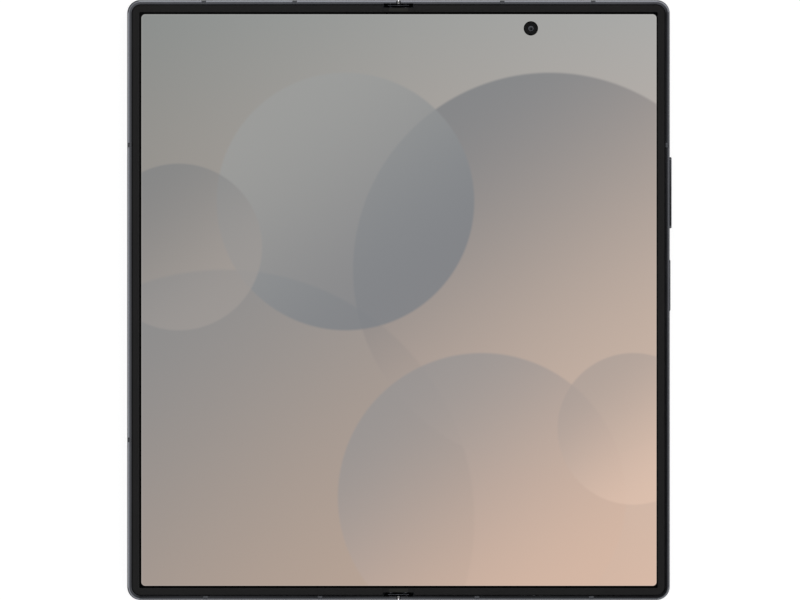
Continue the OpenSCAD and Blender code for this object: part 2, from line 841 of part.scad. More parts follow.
module right_frame() {
    color(graphite) seat()
        difference() {
            frame_half();
            break_slots(1);
            slot_y(usb_x, port_z, usb_w, usb_h, [-half_h - 1, wall_t - half_h]);
            shelf_gap([usb_x - usb_w / 2 - 0.3, usb_x + usb_w / 2 + 0.3], -1, [0, screen_bottom]);
            grille(7, -1);
            rod(usb_x - 7.5, port_z, mic_r, [-half_h - 1, wall_t + 2 - half_h]);
            rod(usb_x + 5, port_z, mic_r, [half_h - wall_t - 2, half_h + 1]);
            key_slot(volume_y, volume_l);
            key_slot(power_y, power_l);
        }
}

module key_slot(y, l) {
    translate([half_w - wall_t - 1, y, key_z])
        rotate([0, 90, 0])
            linear_extrude(wall_t + 3)
                key_outline(l + 2 * key_gap, key_h + 2 * key_gap);
}

// Long outline with round ends, long side along Y, for use on a side wall
module key_outline(l, h) {
    square([h, l - h], center = true);
    for (s = [-1, 1]) translate([0, s * (l - h) / 2]) circle(d = h, $fn = 48);
}

module key(y, l, rise) {
    translate([half_w - wall_t, y, key_z])
        rotate([0, 90, 0])
            linear_extrude(wall_t + rise)
                key_outline(l, key_h);
    back = half_w - wall_t - key_play;
    box([back - key_flange_t, back], span(y, l / 2 + 0.8), span(key_z, key_flange_h / 2));
    box([back - 0.1, half_w - wall_t + 0.1], span(y, l / 2 - 1), span(key_z, key_h / 2 - 0.1));
}

module volume_key() { color(graphite) seat() key(volume_y, volume_l, volume_rise); }
module power_key() { color(graphite) seat() key(power_y, power_l, power_rise); }

// Side board with a dome under each end of the volume key and one under the power key
module key_switches() {
    back = half_w - wall_t - key_play - key_flange_t - 0.3;
    color(board_green) seat() {
        box([back - 0.75, back - 0.5], [power_y - power_l / 2, volume_y + volume_l / 2],
            [key_z - key_flange_h / 2, plate_bottom]);
        for (y = [volume_y - volume_l * 0.3, volume_y + volume_l * 0.3, power_y])
            translate([back - 0.51, y, key_z])
                rotate([0, 90, 0])
                    cylinder(r1 = 0.75, r2 = 0.35, h = 0.51, $fn = 32);
    }
}

// Back glass of a half, with rounded outer corners
module glass_half() {
    u = wall_t + glass_gap;
    slab([glass_x + glass_gap, half_w - u], [u - half_h, half_h - u], [0, glass_t],
         [0.6, corner_r - u]);
}

module cover_glass() {
    color(deep_black) seat() side(-1)
        difference() {
            glass_half();
            // Earpiece slit at the top of the cover glass
            translate([cover_cam[0], half_h - wall_t - 0.55, -1])
                linear_extrude(3)
                    square([9, 0.45], center = true);
        }
}

cover_cam = [(glass_x + half_w) / 2, half_h - 6.4];

module cover_screen() {
    color([0.05, 0.05, 0.06]) seat() side(-1)
        difference() {
            slab([glass_x + 1.6, half_w - 2.9], [3.2 - half_h, half_h - 3.2],
                 [glass_t, room_bottom], 2);
            rod_z(cover_cam, 2.6, [0, 2]);
            for (y = modules)
                box([0, pad_reach + 0.5], [y - arm_w / 2 - 1.2, y + arm_w / 2 + 1.2], [0, 2]);
        }
}

// A small camera: square base with a round barrel that faces the back or the front
module camera_module(p, w, base, barrel_r, barrel) {
    slab(span(p[0], w / 2), span(p[1], w / 2), base, 0.6);
    difference() {
        rod_z(p, barrel_r, barrel);
        rod_z(p, barrel_r * 0.55, barrel[0] < base[0] ? [barrel[0] - 1, barrel[0] + 0.3]
                                                      : [barrel[1] - 0.3, barrel[1] + 1]);
    }
}

module cover_camera() {
    color(deep_black) seat() side(-1)
        camera_module(cover_cam, 5, [room_bottom + 0.1, room_top], 2, [glass_t, room_bottom + 0.2]);
}

module inner_camera() {
    color(deep_black) seat()
        camera_module(inner_cam, 5.6, [room_bottom, room_top], inner_hole_d / 2 - 0.15,
                      [room_top - 0.1, screen_top - 0.15]);
}

cell_end_x = half_w - shelf_u - 4;

module battery(s, y) {
    color(foil) seat() side(s)
        slab([cell_x, cell_end_x], y, [room_bottom + 0.05, room_top - 0.1], 1.5);
}

// Ends of the two batteries along the phone
left_cell_y = [27 - half_h, flex_y[0] - 2.5];
right_cell_y = [24 - half_h, island_y - island_l / 2 - 4];

module left_battery() { battery(-1, left_cell_y); }
module right_battery() { battery(1, right_cell_y); }

board_z = board_top - 0.4;

module left_board() {
    color(board_green) seat() side(-1)
        difference() {
            slab([cell_x + 1, half_w - shelf_u - 1], [flex_y[0] - 1, half_h - shelf_u - 1],
                 [board_z, board_top], 1.2);
            box(span(cover_cam[0], 2.9), [cover_cam[1] - 2.9, half_h], [0, body_t]);
            box([speaker_x - speaker_w / 2 - 0.3, half_w],
                [half_h - shelf_u - 1.3 - top_speaker_l, half_h], [0, body_t]);
        }
}

// Speaker box behind a row of holes
module speaker_box(x, end, l) {
    y = end > 0 ? [half_h - shelf_u - 1 - l, half_h - shelf_u - 0.3]
                : [shelf_u + 0.3 - half_h, shelf_u + 1 + l - half_h];
    slab(span(x, speaker_w / 2), y, [room_bottom + 0.05, room_top - 0.05], 0.8);
}

module top_speaker() { color(soft_black) seat() side(-1) speaker_box(speaker_x, 1, top_speaker_l); }
module bottom_speaker() { color(soft_black) seat() speaker_box(speaker_x, -1, bottom_speaker_l); }

module haptic_motor() {
    color(steel) seat()
        slab([cell_x + 0.5, cell_x + 0.5 + haptic_w],
             [shelf_u + 1 - half_h, shelf_u + 1 + haptic_l - half_h],
             [room_bottom + 0.05, room_top - 0.1], 0.8);
}

// Tray for one small card; its head closes the slot in the end wall
module sim_tray() {
    y0 = wall_t - half_h;
    color(graphite) seat() side(-1)
        difference() {
            union() {
                slot_y(sim_x, tray_z, tray_head_w, tray_head_h, [-half_h, y0 - 0.1]);
                box([sim_x - sim_w / 2, sim_x + sim_w / 2], [y0 - 0.2, y0 + tray_l], sim_z);
            }
            box([sim_x - 4.45, sim_x + 4.45], [y0 + 3.2, y0 + 15.6], [sim_z[0] + 0.3, body_t]);
            box([sim_x - 3.4, sim_x + 3.4], [y0 + 4.2, y0 + 14.6], [0, body_t]);
            rod(sim_x + tray_head_w / 2 - 1.4, tray_z, eject_r, [-half_h - 1, y0 + 1]);
        }
}

// Card reader: a cage open towards the slot
module sim_reader() {
    y0 = wall_t - half_h;
    color(steel) seat() side(-1)
        difference() {
            box([sim_x - sim_w / 2 - 0.6, sim_x + sim_w / 2 + 0.6],
                [y0 + shelf_w + 0.3, y0 + tray_l + 1], [sim_z[0] - 0.2, sim_z[1] + 0.25]);
            box([sim_x - sim_w / 2 - 0.1, sim_x + sim_w / 2 + 0.1],
                [y0, y0 + tray_l + 0.2], [sim_z[0] - 0.05, sim_z[1] + 0.1]);
        }
}

// ------------------------------------------------------ right half's back
module island_outline(grow) {
    w = island_w + 2 * grow;
    square([w, island_l - island_w], center = true);
    for (s = [-1, 1]) translate([0, s * (island_l - island_w) / 2]) circle(d = w, $fn = 96);
}

module rear_glass() {
    color(graphite) seat()
        difference() {
            glass_half();
            translate([island_x, island_y, -1]) linear_extrude(3) island_outline(-0.6);
            rod_z(flash_at, flash_d / 2 + 0.05, [-1, 2]);
        }
}

module camera_island() {
    color(graphite) seat()
        difference() {
            union() {
                translate([island_x, island_y, -island_t]) linear_extrude(island_t) island_outline(0);
                translate([island_x, island_y, -0.1])
                    linear_extrude(ledge_z + 0.1) island_outline(-0.65);
            }
            for (p = lenses) rod_z(p, module_w / 2, [-island_t + 0.5, 2]);
            for (p = lenses) rod_z(p, lens_d / 2 - 1.2, [-island_t - 1, 2]);
        }
}

// Raised metal ring round each lens
module lens_rings() {
    color(steel) seat()
        for (p = lenses)
            translate([p[0], p[1], -island_t - ring_rise])
                rotate_extrude($fn = 96)
                    polygon([[lens_d / 2 - 1.25, 0.12], [lens_d / 2 - 1.1, 0],
                             [lens_d / 2 - 0.3, 0], [lens_d / 2, 0.25],
                             [lens_d / 2, ring_rise], [lens_d / 2 - 1.25, ring_rise]]);
}

module lens_windows() {
    color([0.05, 0.05, 0.07]) seat()
        for (p = lenses) rod_z(p, lens_d / 2 - 1.3, [-island_t - ring_rise + 0.2, -island_t + 0.3]);
}

module rear_camera(p, w, barrel_r) {
    color(deep_black) seat()
        camera_module(p, w, [room_bottom, room_top], barrel_r, [-island_t + 0.4, room_bottom + 0.1]);
}

module wide_camera() { rear_camera(lenses[0], 10.6, 4.6); }
module main_camera() { rear_camera(lenses[1], module_w, 5.2); }
module tele_camera() { rear_camera(lenses[2], 10.6, 4.2); }

module flash_window() {
    color([0.95, 0.93, 0.85]) seat() rod_z(flash_at, flash_d / 2, [0.02, room_bottom + 0.1]);
}

module main_board() {
    color(board_green) seat()
        difference() {
            slab([cell_x + 1, half_w - shelf_u - 2], [island_y - island_l / 2 - 2, half_h - shelf_u - 1],
                 [board_z, board_top], 1.2);
            for (p = lenses)
                box(span(p[0], module_w / 2 + 0.3), span(p[1], module_w / 2 + 0.3), [0, body_t]);
            box(span(inner_cam[0], 3.2), [inner_cam[1] - 3.2, half_h], [0, body_t]);
        }
}

// Shield cans on the main board: width, then both ends from the island's middle
shields = [[19, -22, -2], [11, 1, 19]];

module board_shields() {
    color(steel) seat()
        for (can = shields)
            slab([cell_x + 3, cell_x + 3 + can[0]], [island_y + can[1], island_y + can[2]],
                 [room_bottom + 0.15, board_z], 0.5);
}

// Flat coil under the middle of the right battery
coil_r = 12;
coil_turns = 6;
coil_pitch = 1.7;
coil_wire = 1.5;

module charging_coil() {
    color(brass) seat()
        translate([(cell_x + cell_end_x) / 2, (right_cell_y[0] + right_cell_y[1]) / 2, glass_t])
            rotate_extrude($fn = 96)
                for (i = [0:coil_turns - 1])
                    translate([coil_r + i * coil_pitch, 0])
                        square([coil_wire, room_bottom - glass_t]);
}

// Metal shell of the USB-C socket
module usb_socket() {
    color(steel) seat()
        difference() {
            slot_y(usb_x, port_z, usb_w + 2 * usb_shell, usb_h + 2 * usb_shell,
                   [wall_t + 0.02 - half_h, usb_back]);
            slot_y(usb_x, port_z, usb_w, usb_h, [-half_h, usb_back - 0.4]);
        }
}

module usb_tongue() {
    back = usb_back - 0.4;
    color(soft_black) seat() {
        box(span(usb_x, 3.34), [back - 5.2, back], span(port_z, 0.35));
        box(span(usb_x, 3.6), [back - 1.2, back], span(port_z, 0.85));
    }
}

hinge_cover();
hinge_bracket_top();
hinge_bracket_middle();
hinge_bracket_bottom();
bearing_plates();
hinge_screws();
centre_plate();
friction_springs();
sync_arm_left();
sync_arm_right();
idler_gear_left();
idler_gear_right();
screen_fold();
fold_trim_top();
fold_trim_bottom();
hinge_flex();
left_frame();
antenna_breaks(-1);  // left_antenna_breaks
left_plate();
left_bezel();
screen_left();
swing_arms_left();
left_arm_screws();
wing_plate_left();
cover_glass();
cover_screen();
cover_camera();
left_battery();
left_board();
top_speaker();
sim_reader();
sim_tray();
right_frame();
antenna_breaks(1);  // right_antenna_breaks
right_plate();
right_bezel();
screen_right();
swing_arms_right();
right_arm_screws();
wing_plate_right();
rear_glass();
camera_island();
lens_rings();
lens_windows();
wide_camera();
main_camera();
tele_camera();
flash_window();
inner_camera();
main_board();
board_shields();
right_battery();
charging_coil();
usb_socket();
usb_tongue();
bottom_speaker();
haptic_motor();
key_switches();
volume_key();
power_key();
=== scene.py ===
import json
import math
import bmesh
import bpy
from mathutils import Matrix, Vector


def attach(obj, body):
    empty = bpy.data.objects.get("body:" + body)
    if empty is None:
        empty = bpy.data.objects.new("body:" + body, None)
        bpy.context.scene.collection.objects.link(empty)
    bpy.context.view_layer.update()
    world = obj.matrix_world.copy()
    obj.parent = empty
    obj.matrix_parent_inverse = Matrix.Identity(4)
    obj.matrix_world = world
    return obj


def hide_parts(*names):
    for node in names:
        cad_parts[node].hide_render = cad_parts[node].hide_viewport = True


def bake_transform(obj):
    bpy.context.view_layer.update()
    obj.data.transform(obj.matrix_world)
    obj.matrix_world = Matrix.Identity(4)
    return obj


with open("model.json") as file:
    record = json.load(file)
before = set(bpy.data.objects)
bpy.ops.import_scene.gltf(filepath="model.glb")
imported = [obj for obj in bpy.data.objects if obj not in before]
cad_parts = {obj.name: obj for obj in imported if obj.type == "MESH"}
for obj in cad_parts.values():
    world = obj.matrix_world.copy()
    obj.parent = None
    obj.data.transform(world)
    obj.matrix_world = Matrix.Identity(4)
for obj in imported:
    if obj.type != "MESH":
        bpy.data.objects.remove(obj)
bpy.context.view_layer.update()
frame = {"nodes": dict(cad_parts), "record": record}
mm = 0.001
sides = ((-1, "left"), (1, "right"))

# Levels and half sizes that several pieces share, in millimetres
phone = {
    "halfWidth": 71.6,
    "halfHeight": 79.2,
    "rimTop": 6.4,
    "screenTop": 6.15,
    "screenBottom": 5.55,
    "cornerRadius": 3.5,
    "bendHalf": 4.15,       # the bezels end this far from the seam
    "bezelOuter": 1.35,     # from the outer face of the wall
}


# Several values of a dictionary, by their names
def take(table, names):
    return [table[name] for name in names.split()]


# ---- small tools for meshes

def meshObject(name, mesh):
    thing = bpy.data.objects.new(name, mesh)
    bpy.context.scene.collection.objects.link(thing)
    return thing


def fromBmesh(name, bm, outward=True):
    if outward:
        bmesh.ops.recalc_face_normals(bm, faces=bm.faces)
    mesh = bpy.data.meshes.new(name)
    bm.to_mesh(mesh)
    bm.free()
    return meshObject(name, mesh)


# Bare points in millimetres, with edges where they are given
def pointCloud(name, points, edges=()):
    mesh = bpy.data.meshes.new(name)
    mesh.from_pydata([Vector(p) * mm for p in points], edges, [])
    return meshObject(name, mesh)


def outlineMesh(name, points, closed):
    count = len(points)
    return pointCloud(name, points, [(i, (i + 1) % count) for i in range(count if closed else count - 1)])


def smoothByAngle(thing, degrees):
    for polygon in thing.data.polygons:
        polygon.use_smooth = True
    bm = bmesh.new()
    bm.from_mesh(thing.data)
    limit = math.radians(degrees)
    for edge in bm.edges:
        edge.smooth = len(edge.link_faces) == 2 and edge.calc_face_angle(0) < limit
    bm.to_mesh(thing.data)
    bm.free()


def weld(thing):
    bm = bmesh.new()
    bm.from_mesh(thing.data)
    bmesh.ops.remove_doubles(bm, verts=bm.verts, dist=1e-7)
    bmesh.ops.recalc_face_normals(bm, faces=bm.faces)
    bm.to_mesh(thing.data)
    bm.free()


def keepEvaluated(thing):
    bpy.context.view_layer.update()
    shown = thing.evaluated_get(bpy.context.evaluated_depsgraph_get())
    mesh = bpy.data.meshes.new_from_object(shown)
    thing.modifiers.clear()
    thing.data = mesh
    if len(mesh.materials) > 1 and mesh.materials[0] is None:     # the empty first slot of a grown piece
        mesh.materials.pop(index=0)


def cut(thing, *cutters):
    for cutter in cutters:
        modifier = thing.modifiers.new("cut", "BOOLEAN")
        modifier.object = cutter
        modifier.solver = "EXACT"
    keepEvaluated(thing)
    for cutter in cutters:
        bpy.data.objects.remove(cutter)


def join(name, things):
    bm = bmesh.new()
    for thing in things:
        bm.from_mesh(thing.data)
        bpy.data.objects.remove(thing)
    return fromBmesh(name, bm)


# Rings of equal point counts, in millimetres, skinned into one closed shape
def loft(name, rings):
    bm = bmesh.new()
    rows = [[bm.verts.new(Vector(p) * mm) for p in ring] for ring in rings]
    count = len(rows[0])
    for lower, upper in zip(rows, rows[1:]):
        for i in range(count):
            j = (i + 1) % count
            bm.faces.new((lower[i], lower[j], upper[j], upper[i]))
    bm.faces.new(rows[0])
    bm.faces.new(rows[-1])
    return fromBmesh(name, bm)


# Profile of (radius, height) pairs turned about an upright axis through the centre
def lathe(name, profile, centre, segments=96):
    bm = bmesh.new()
    rows = []
    for radius, height in profile:
        spots = 1 if radius == 0 else segments
        rows.append([
            bm.verts.new((
                (centre[0] + radius * math.cos(2 * math.pi * i / segments)) * mm,
                (centre[1] + radius * math.sin(2 * math.pi * i / segments)) * mm,
                height * mm))
            for i in range(spots)])
    for first, second in zip(rows, rows[1:] + rows[:1]):
        for i in range(segments):
            j = (i + 1) % segments
            corners = [first[i % len(first)], first[j % len(first)],
                       second[j % len(second)], second[i % len(second)]]
            corners = list(dict.fromkeys(corners))
            if len(corners) > 2:
                bm.faces.new(corners)
    return fromBmesh(name, bm)


def plug(name, radius, levels, centre, segments):
    low, high = levels
    return lathe(name, [(0, low), (radius, low), (radius, high), (0, high)], centre, segments)


# Angles of a quarter turn in equal steps
def quarter(steps):
    return [math.pi / 2 * i / steps for i in range(steps + 1)]


# Rounded edge from the side to the face: how far each ring lies below the face, and in from the side
def roundedEdge(radius, steps):
    return [(radius * (1 - math.sin(a)), radius * (1 - math.cos(a))) for a in quarter(steps)]


# Outline with straight sides and half round ends, long side along the second axis
def stadium(width, length, steps=16):
    radius = width / 2
    points = []
    for start, side in ((0, 1), (math.pi, -1)):
        for i in range(steps + 1):
            angle = start + math.pi * i / steps
            points.append((radius * math.cos(angle),
                           side * (length / 2 - radius) + radius * math.sin(angle)))
    return points


# Rectangle with rounded corners
def roundedOutline(width, length, radius, steps=8):
    points = []
    for turn, (sx, sy) in enumerate(((1, 1), (-1, 1), (-1, -1), (1, -1))):
        for i in range(steps + 1):
            angle = math.pi / 2 * (turn + i / steps)
            points.append((sx * (width / 2 - radius) + radius * math.cos(angle),
                           sy * (length / 2 - radius) + radius * math.sin(angle)))
    return points


def ringAt(outline, centre, level):
    return [(centre[0] + x, centre[1] + y, level) for x, y in outline]


def block(name, outline, centre, levels):
    return loft(name, [ringAt(outline, centre, level) for level in levels])


# A flat bar along X whose section is a rectangle with its upper edges taken off
def bendingBar(name, fromX, toX, yRange, zRange, edge, columns):
    (y0, y1), (z0, z1) = yRange, zRange
    rings = []
    for i in range(columns + 1):
        x = fromX + (toX - fromX) * i / columns
        rings.append([(x, y0, z0), (x, y1, z0), (x, y1, z1 - edge), (x, y1 - edge, z1),
                      (x, y0 + edge, z1), (x, y0, z1 - edge)])
    return loft(name, rings)


# ---- small tools for node trees

# Links a socket to another or to a node's first one, or gives it a value; a colour is three numbers
def feed(tree, socket, value):
    if isinstance(value, bpy.types.Node):
        value = value.outputs[0]
    if isinstance(value, bpy.types.NodeSocket):
        tree.links.new(value, socket)
    elif socket.type == "RGBA":
        socket.default_value = (*value, 1)
    else:
        socket.default_value = value


# An input is named with low lines for its spaces, or numbered as in i0
def setInputs(tree, node, **values):
    for key, value in values.items():
        feed(tree, node.inputs[int(key[1:]) if key[1:].isdigit() else key.replace("_", " ")], value)


def makeNode(tree, kind, settings=None, **values):
    node = tree.nodes.new(kind)
    for key, value in (settings or {}).items():
        setattr(node, key, value)
    setInputs(tree, node, **values)
    return node


def objectPlace(tree):
    return makeNode(tree, "ShaderNodeTexCoord").outputs["Object"]


def vectorMath(tree, operation, first, second=None):
    node = makeNode(tree, "ShaderNodeVectorMath", {"operation": operation}, i0=first)
    if second is not None:
        feed(tree, node.inputs[1], second)
    return node.outputs["Value" if operation in ("DISTANCE", "DOT_PRODUCT", "LENGTH") else "Vector"]


def mapRange(tree, value, fromRange=(0, 1), toRange=(0, 1), smooth=False):
    kind = {"interpolation_type": "SMOOTHSTEP" if smooth else "LINEAR"}
    return makeNode(tree, "ShaderNodeMapRange", kind,
                    Value=value, From_Min=fromRange[0], From_Max=fromRange[1],
                    To_Min=toRange[0], To_Max=toRange[1])


def blendColours(tree, first, second, factor):
    return makeNode(tree, "ShaderNodeMix", {"data_type": "RGBA"}, i0=factor, i6=first, i7=second).outputs[2]


# How far a point is past the inset core of a rounded rectangle; at its edge this equals the radius
def roundedReach(tree, point, centre, half, radius):
    centred = vectorMath(tree, "SUBTRACT", point, (*centre, 0))
    flat = vectorMath(tree, "MULTIPLY", centred, (1, 1, 0))
    folded = vectorMath(tree, "ABSOLUTE", flat)
    past = vectorMath(tree, "SUBTRACT", folded, (half[0] - radius, half[1] - radius, 0))
    return vectorMath(tree, "LENGTH", vectorMath(tree, "MAXIMUM", past, (0, 0, 0)))


def shapeOf(tree, thing):
    return makeNode(tree, "GeometryNodeObjectInfo", Object=thing).outputs["Geometry"]


def sweep(tree, curve, profile):
    section = makeNode(tree, "GeometryNodeMeshToCurve", Mesh=shapeOf(tree, profile))
    return makeNode(tree, "GeometryNodeCurveToMesh", Curve=curve, Profile_Curve=section, Fill_Caps=True)


def levelCurve(tree, curve):
    return makeNode(tree, "GeometryNodeSetCurveNormal", {"mode": "Z_UP"}, Curve=curve)


socketKinds = {int: "Int", float: "Float", tuple: "Vector", bpy.types.Object: "Object",
               bpy.types.Material: "Material"}
growTrees = {}


# A tree for Geometry Nodes with an input for each value; build adds the nodes that make the geometry
def growTree(build, values):
    tree = bpy.data.node_groups.new(build.__name__, "GeometryNodeTree")
    for direction in ("INPUT", "OUTPUT"):
        tree.interface.new_socket(name="Geometry", in_out=direction, socket_type="NodeSocketGeometry")
    for label, value in values.items():
        kind = "NodeSocket" + socketKinds[type(value)]
        tree.interface.new_socket(name=label, in_out="INPUT", socket_type=kind)
    given = makeNode(tree, "NodeGroupInput").outputs
    real = makeNode(tree, "GeometryNodeRealizeInstances", Geometry=build(tree, given))
    paint = makeNode(tree, "GeometryNodeSetMaterial", Geometry=real, Material=given["Material"])
    makeNode(tree, "NodeGroupOutput", Geometry=paint)
    return tree


# Grows a thing by a tree; an object among the values is used up
def grow(thing, build, materialName, **values):
    values["Material"] = materials[materialName]
    if build not in growTrees:
        growTrees[build] = growTree(build, values)
    modifier = thing.modifiers.new("grow", "NODES")
    modifier.node_group = growTrees[build]
    for item in growTrees[build].interface.items_tree:
        if item.item_type == "SOCKET" and item.in_out == "INPUT" and item.name in values:
            modifier[item.identifier] = values[item.name]
    keepEvaluated(thing)
    for value in values.values():
        if isinstance(value, bpy.types.Object):
            bpy.data.objects.remove(value)
    return thing


# ---- materials

# Under the cover glass: a panel a shade lighter than its ink border, then the camera's window,
# iris and pupil
coverCamera = (-38.125, 72.8)
coverAreas = [
    dict(centre=(-37.5, 0), half=(31.6, 75.4), radius=2.2, colour=(0.0085, 0.0085, 0.0105)),
    dict(centre=coverCamera, half=(1.95, 1.95), radius=1.94, colour=(0.0008, 0.0008, 0.0009)),
    dict(centre=coverCamera, half=(1.25, 1.25), radius=1.24, colour=(0.02, 0.021, 0.026)),
    dict(centre=coverCamera, half=(0.85, 0.85), radius=0.84, colour=(0.006, 0.008, 0.02)),
]

# Light and dark colour (linear), roughness, sizes of patches and grain and depth of the bump in millimetres
finishes = {
    "frame_metal": ((0.15, 0.155, 0.17), (0.128, 0.132, 0.147), 0.15, 6, 0.045, 0.00018, dict(metal=1)),
    "ring_metal": ((0.2, 0.207, 0.232), (0.16, 0.166, 0.19), 0.22, 3, 0.03, 0.001, dict(metal=1)),
    "break_plastic": ((0.07, 0.074, 0.085), (0.06, 0.064, 0.074), 0.5, 2, 0.05, 0.002),
    "bezel_plastic": ((0.0185, 0.0182, 0.0182), (0.016, 0.0157, 0.0157), 0.5, 9, 0.06, 0.002,
                      dict(gloss=0.13)),
    "trim_pad": ((0.034, 0.034, 0.031), (0.028, 0.028, 0.025), 0.6, 2, 0.06, 0.002, dict(gloss=0.13)),
    # near black for the hinge cover's ends: liner paint and also painted shade of the gaps there
    "hinge_liner_and_shade": ((0.0015, 0.0015, 0.0017), (0.001, 0.001, 0.0012), 0.6, 2, 0.06, 0.002,
                    dict(gloss=0.03)),
    "back_glass": ((0.055, 0.058, 0.066), (0.047, 0.05, 0.057), 0.42, 25, 0.03, 0.001, dict(coat=0.15)),
    "cover_glass": ((0.004, 0.004, 0.005), (0.003, 0.003, 0.004), 0.04, 30, 4, 0.0004,
                    dict(coat=0.5, areas=coverAreas)),
    "cover_panel": ((0.006, 0.006, 0.008), (0.004, 0.004, 0.005), 0.1, 20, 0.2, 0.0003),
    "camera_black": ((0.007, 0.007, 0.0072), (0.004, 0.004, 0.0045), 0.45, 1.5, 0.04, 0.001,
                     dict(gloss=0.16)),
    "hinge_steel": ((0.42, 0.42, 0.43), (0.34, 0.34, 0.36), 0.32, 1.2, 0.05, 0.002,
                    dict(metal=1, stretch=(1, 0.12, 1))),
    "spring_steel": ((0.4, 0.4, 0.42), (0.3, 0.3, 0.33), 0.25, 0.8, 0.04, 0.001, dict(metal=1)),
    "support_steel": ((0.45, 0.46, 0.48), (0.39, 0.4, 0.42), 0.3, 8, 0.03, 0.001,
                      dict(metal=1, stretch=(6, 0.05, 1))),
    "plate_metal": ((0.4, 0.41, 0.43), (0.33, 0.34, 0.36), 0.42, 12, 0.06, 0.003, dict(metal=1)),
    "battery_foil": ((0.09, 0.092, 0.1), (0.07, 0.072, 0.08), 0.4, 5, 0.5, 0.01, dict(metal=0.7)),
    "board": ((0.012, 0.07, 0.045), (0.008, 0.05, 0.034), 0.32, 1.1, 0.25, 0.006, dict(coat=0.3)),
    "shield_metal": ((0.55, 0.55, 0.56), (0.46, 0.46, 0.48), 0.28, 4, 0.04, 0.001,
                     dict(metal=1, stretch=(0.08, 1, 1))),
    "coil_copper": ((0.62, 0.26, 0.12), (0.5, 0.19, 0.08), 0.3, 2, 0.05, 0.001, dict(metal=1)),
    "speaker_plastic": ((0.012, 0.012, 0.013), (0.009, 0.009, 0.01), 0.5, 3, 0.08, 0.003),
    "flex_film": ((0.26, 0.1, 0.018), (0.18, 0.062, 0.01), 0.24, 0.9, 0.3, 0.003,
                  dict(stretch=(0.08, 1, 1))),
    "contact_gold": ((0.9, 0.62, 0.22), (0.8, 0.52, 0.16), 0.25, 0.6, 0.03, 0.0005, dict(metal=1)),
    "mesh_wire": ((0.05, 0.05, 0.052), (0.035, 0.035, 0.037), 0.4, 0.5, 0.02, 0.0005, dict(metal=1)),
    "flash_plastic": ((0.8, 0.74, 0.52), (0.72, 0.6, 0.3), 0.15, 1.2, 0.2, 0.002, dict(coat=0.6)),
}
finishDefaults = dict(metal=0, gloss=0.5, coat=0, stretch=(1, 1, 1), areas=())
# Detail and roughness of both noises, strength of the bump, shares of the roughness, soft edge in millimetres
surface = {
    "patch": (3.0, 0.55), "grain": (2.0, 0.5), "bump": 0.6, "wear": (0.9, 1.12), "coatRough": 0.08,
    "areaSoft": 0.03,
}
clear = {"colour": (0.86, 0.9, 0.95), "ior": 1.5, "haze": 0.03, "hazeScale": 180.0, "hazeDetail": 2.0}
coating = {"rough": 0.04, "coatRough": 0.02, "tint": (0.72, 0.8, 1)}


def shaderTree(name):
    material = bpy.data.materials.new(name)
    material.use_nodes = True
    tree = material.node_tree
    tree.nodes.clear()
    shader = makeNode(tree, "ShaderNodeBsdfPrincipled")
    makeNode(tree, "ShaderNodeOutputMaterial", Surface=shader.outputs["BSDF"])
    return material, tree, shader


def layAreas(tree, colour, areas):
    spot = makeNode(tree, "ShaderNodeMapping", Vector=objectPlace(tree), Scale=(1 / mm, 1 / mm, 1 / mm))
    for area in areas:
        radius = area["radius"]
        reach = roundedReach(tree, spot, area["centre"], area["half"], radius)
        inside = mapRange(tree, reach, (radius + surface["areaSoft"], radius - surface["areaSoft"]))
        colour = blendColours(tree, colour, area["colour"], inside)
    return colour


def makeFinish(name, light, dark, rough, patch, grain, height, extra=None):
    look = finishDefaults | (extra or {})
    material, tree, shader = shaderTree(name)
    place = makeNode(tree, "ShaderNodeMapping", Vector=objectPlace(tree), Scale=look["stretch"])
    patches, grains = (
        makeNode(tree, "ShaderNodeTexNoise", Vector=place, Scale=1 / (size * mm), Detail=detail,
                 Roughness=share).outputs["Fac"]
        for size, (detail, share) in ((patch, surface["patch"]), (grain, surface["grain"])))
    colour = blendColours(tree, dark, light, patches)
    if look["areas"]:
        colour = layAreas(tree, colour, look["areas"])
    bump = makeNode(tree, "ShaderNodeBump", Height=grains, Strength=surface["bump"], Distance=height * mm)
    setInputs(tree, shader, Base_Color=colour, Metallic=look["metal"], Specular_IOR_Level=look["gloss"],
              Roughness=mapRange(tree, patches, toRange=[rough * share for share in surface["wear"]]),
              Normal=bump, Coat_Weight=look["coat"], Coat_Roughness=surface["coatRough"])
    return material


def makeClear(name):
    material, tree, shader = shaderTree(name)
    haze = makeNode(tree, "ShaderNodeTexNoise", Vector=objectPlace(tree), Scale=clear["hazeScale"],
                    Detail=clear["hazeDetail"])
    setInputs(tree, shader, Base_Color=clear["colour"], Transmission_Weight=1, IOR=clear["ior"],
              Roughness=mapRange(tree, haze, toRange=(0, clear["haze"])))
    return material


# Coated front element of a camera: dark glass whose tint shifts from its middle to its rim
def makeLensCoating(name, inner, outer, centre, radius):
    material, tree, shader = shaderTree(name)
    away = vectorMath(tree, "DISTANCE", objectPlace(tree), Vector(centre) * mm)
    colour = blendColours(tree, inner, outer, mapRange(tree, away, (0, radius * mm), smooth=True))
    setInputs(tree, shader, Base_Color=colour, Roughness=coating["rough"], Coat_Weight=1,
              Coat_Roughness=coating["coatRough"], Coat_Tint=coating["tint"])
    return material


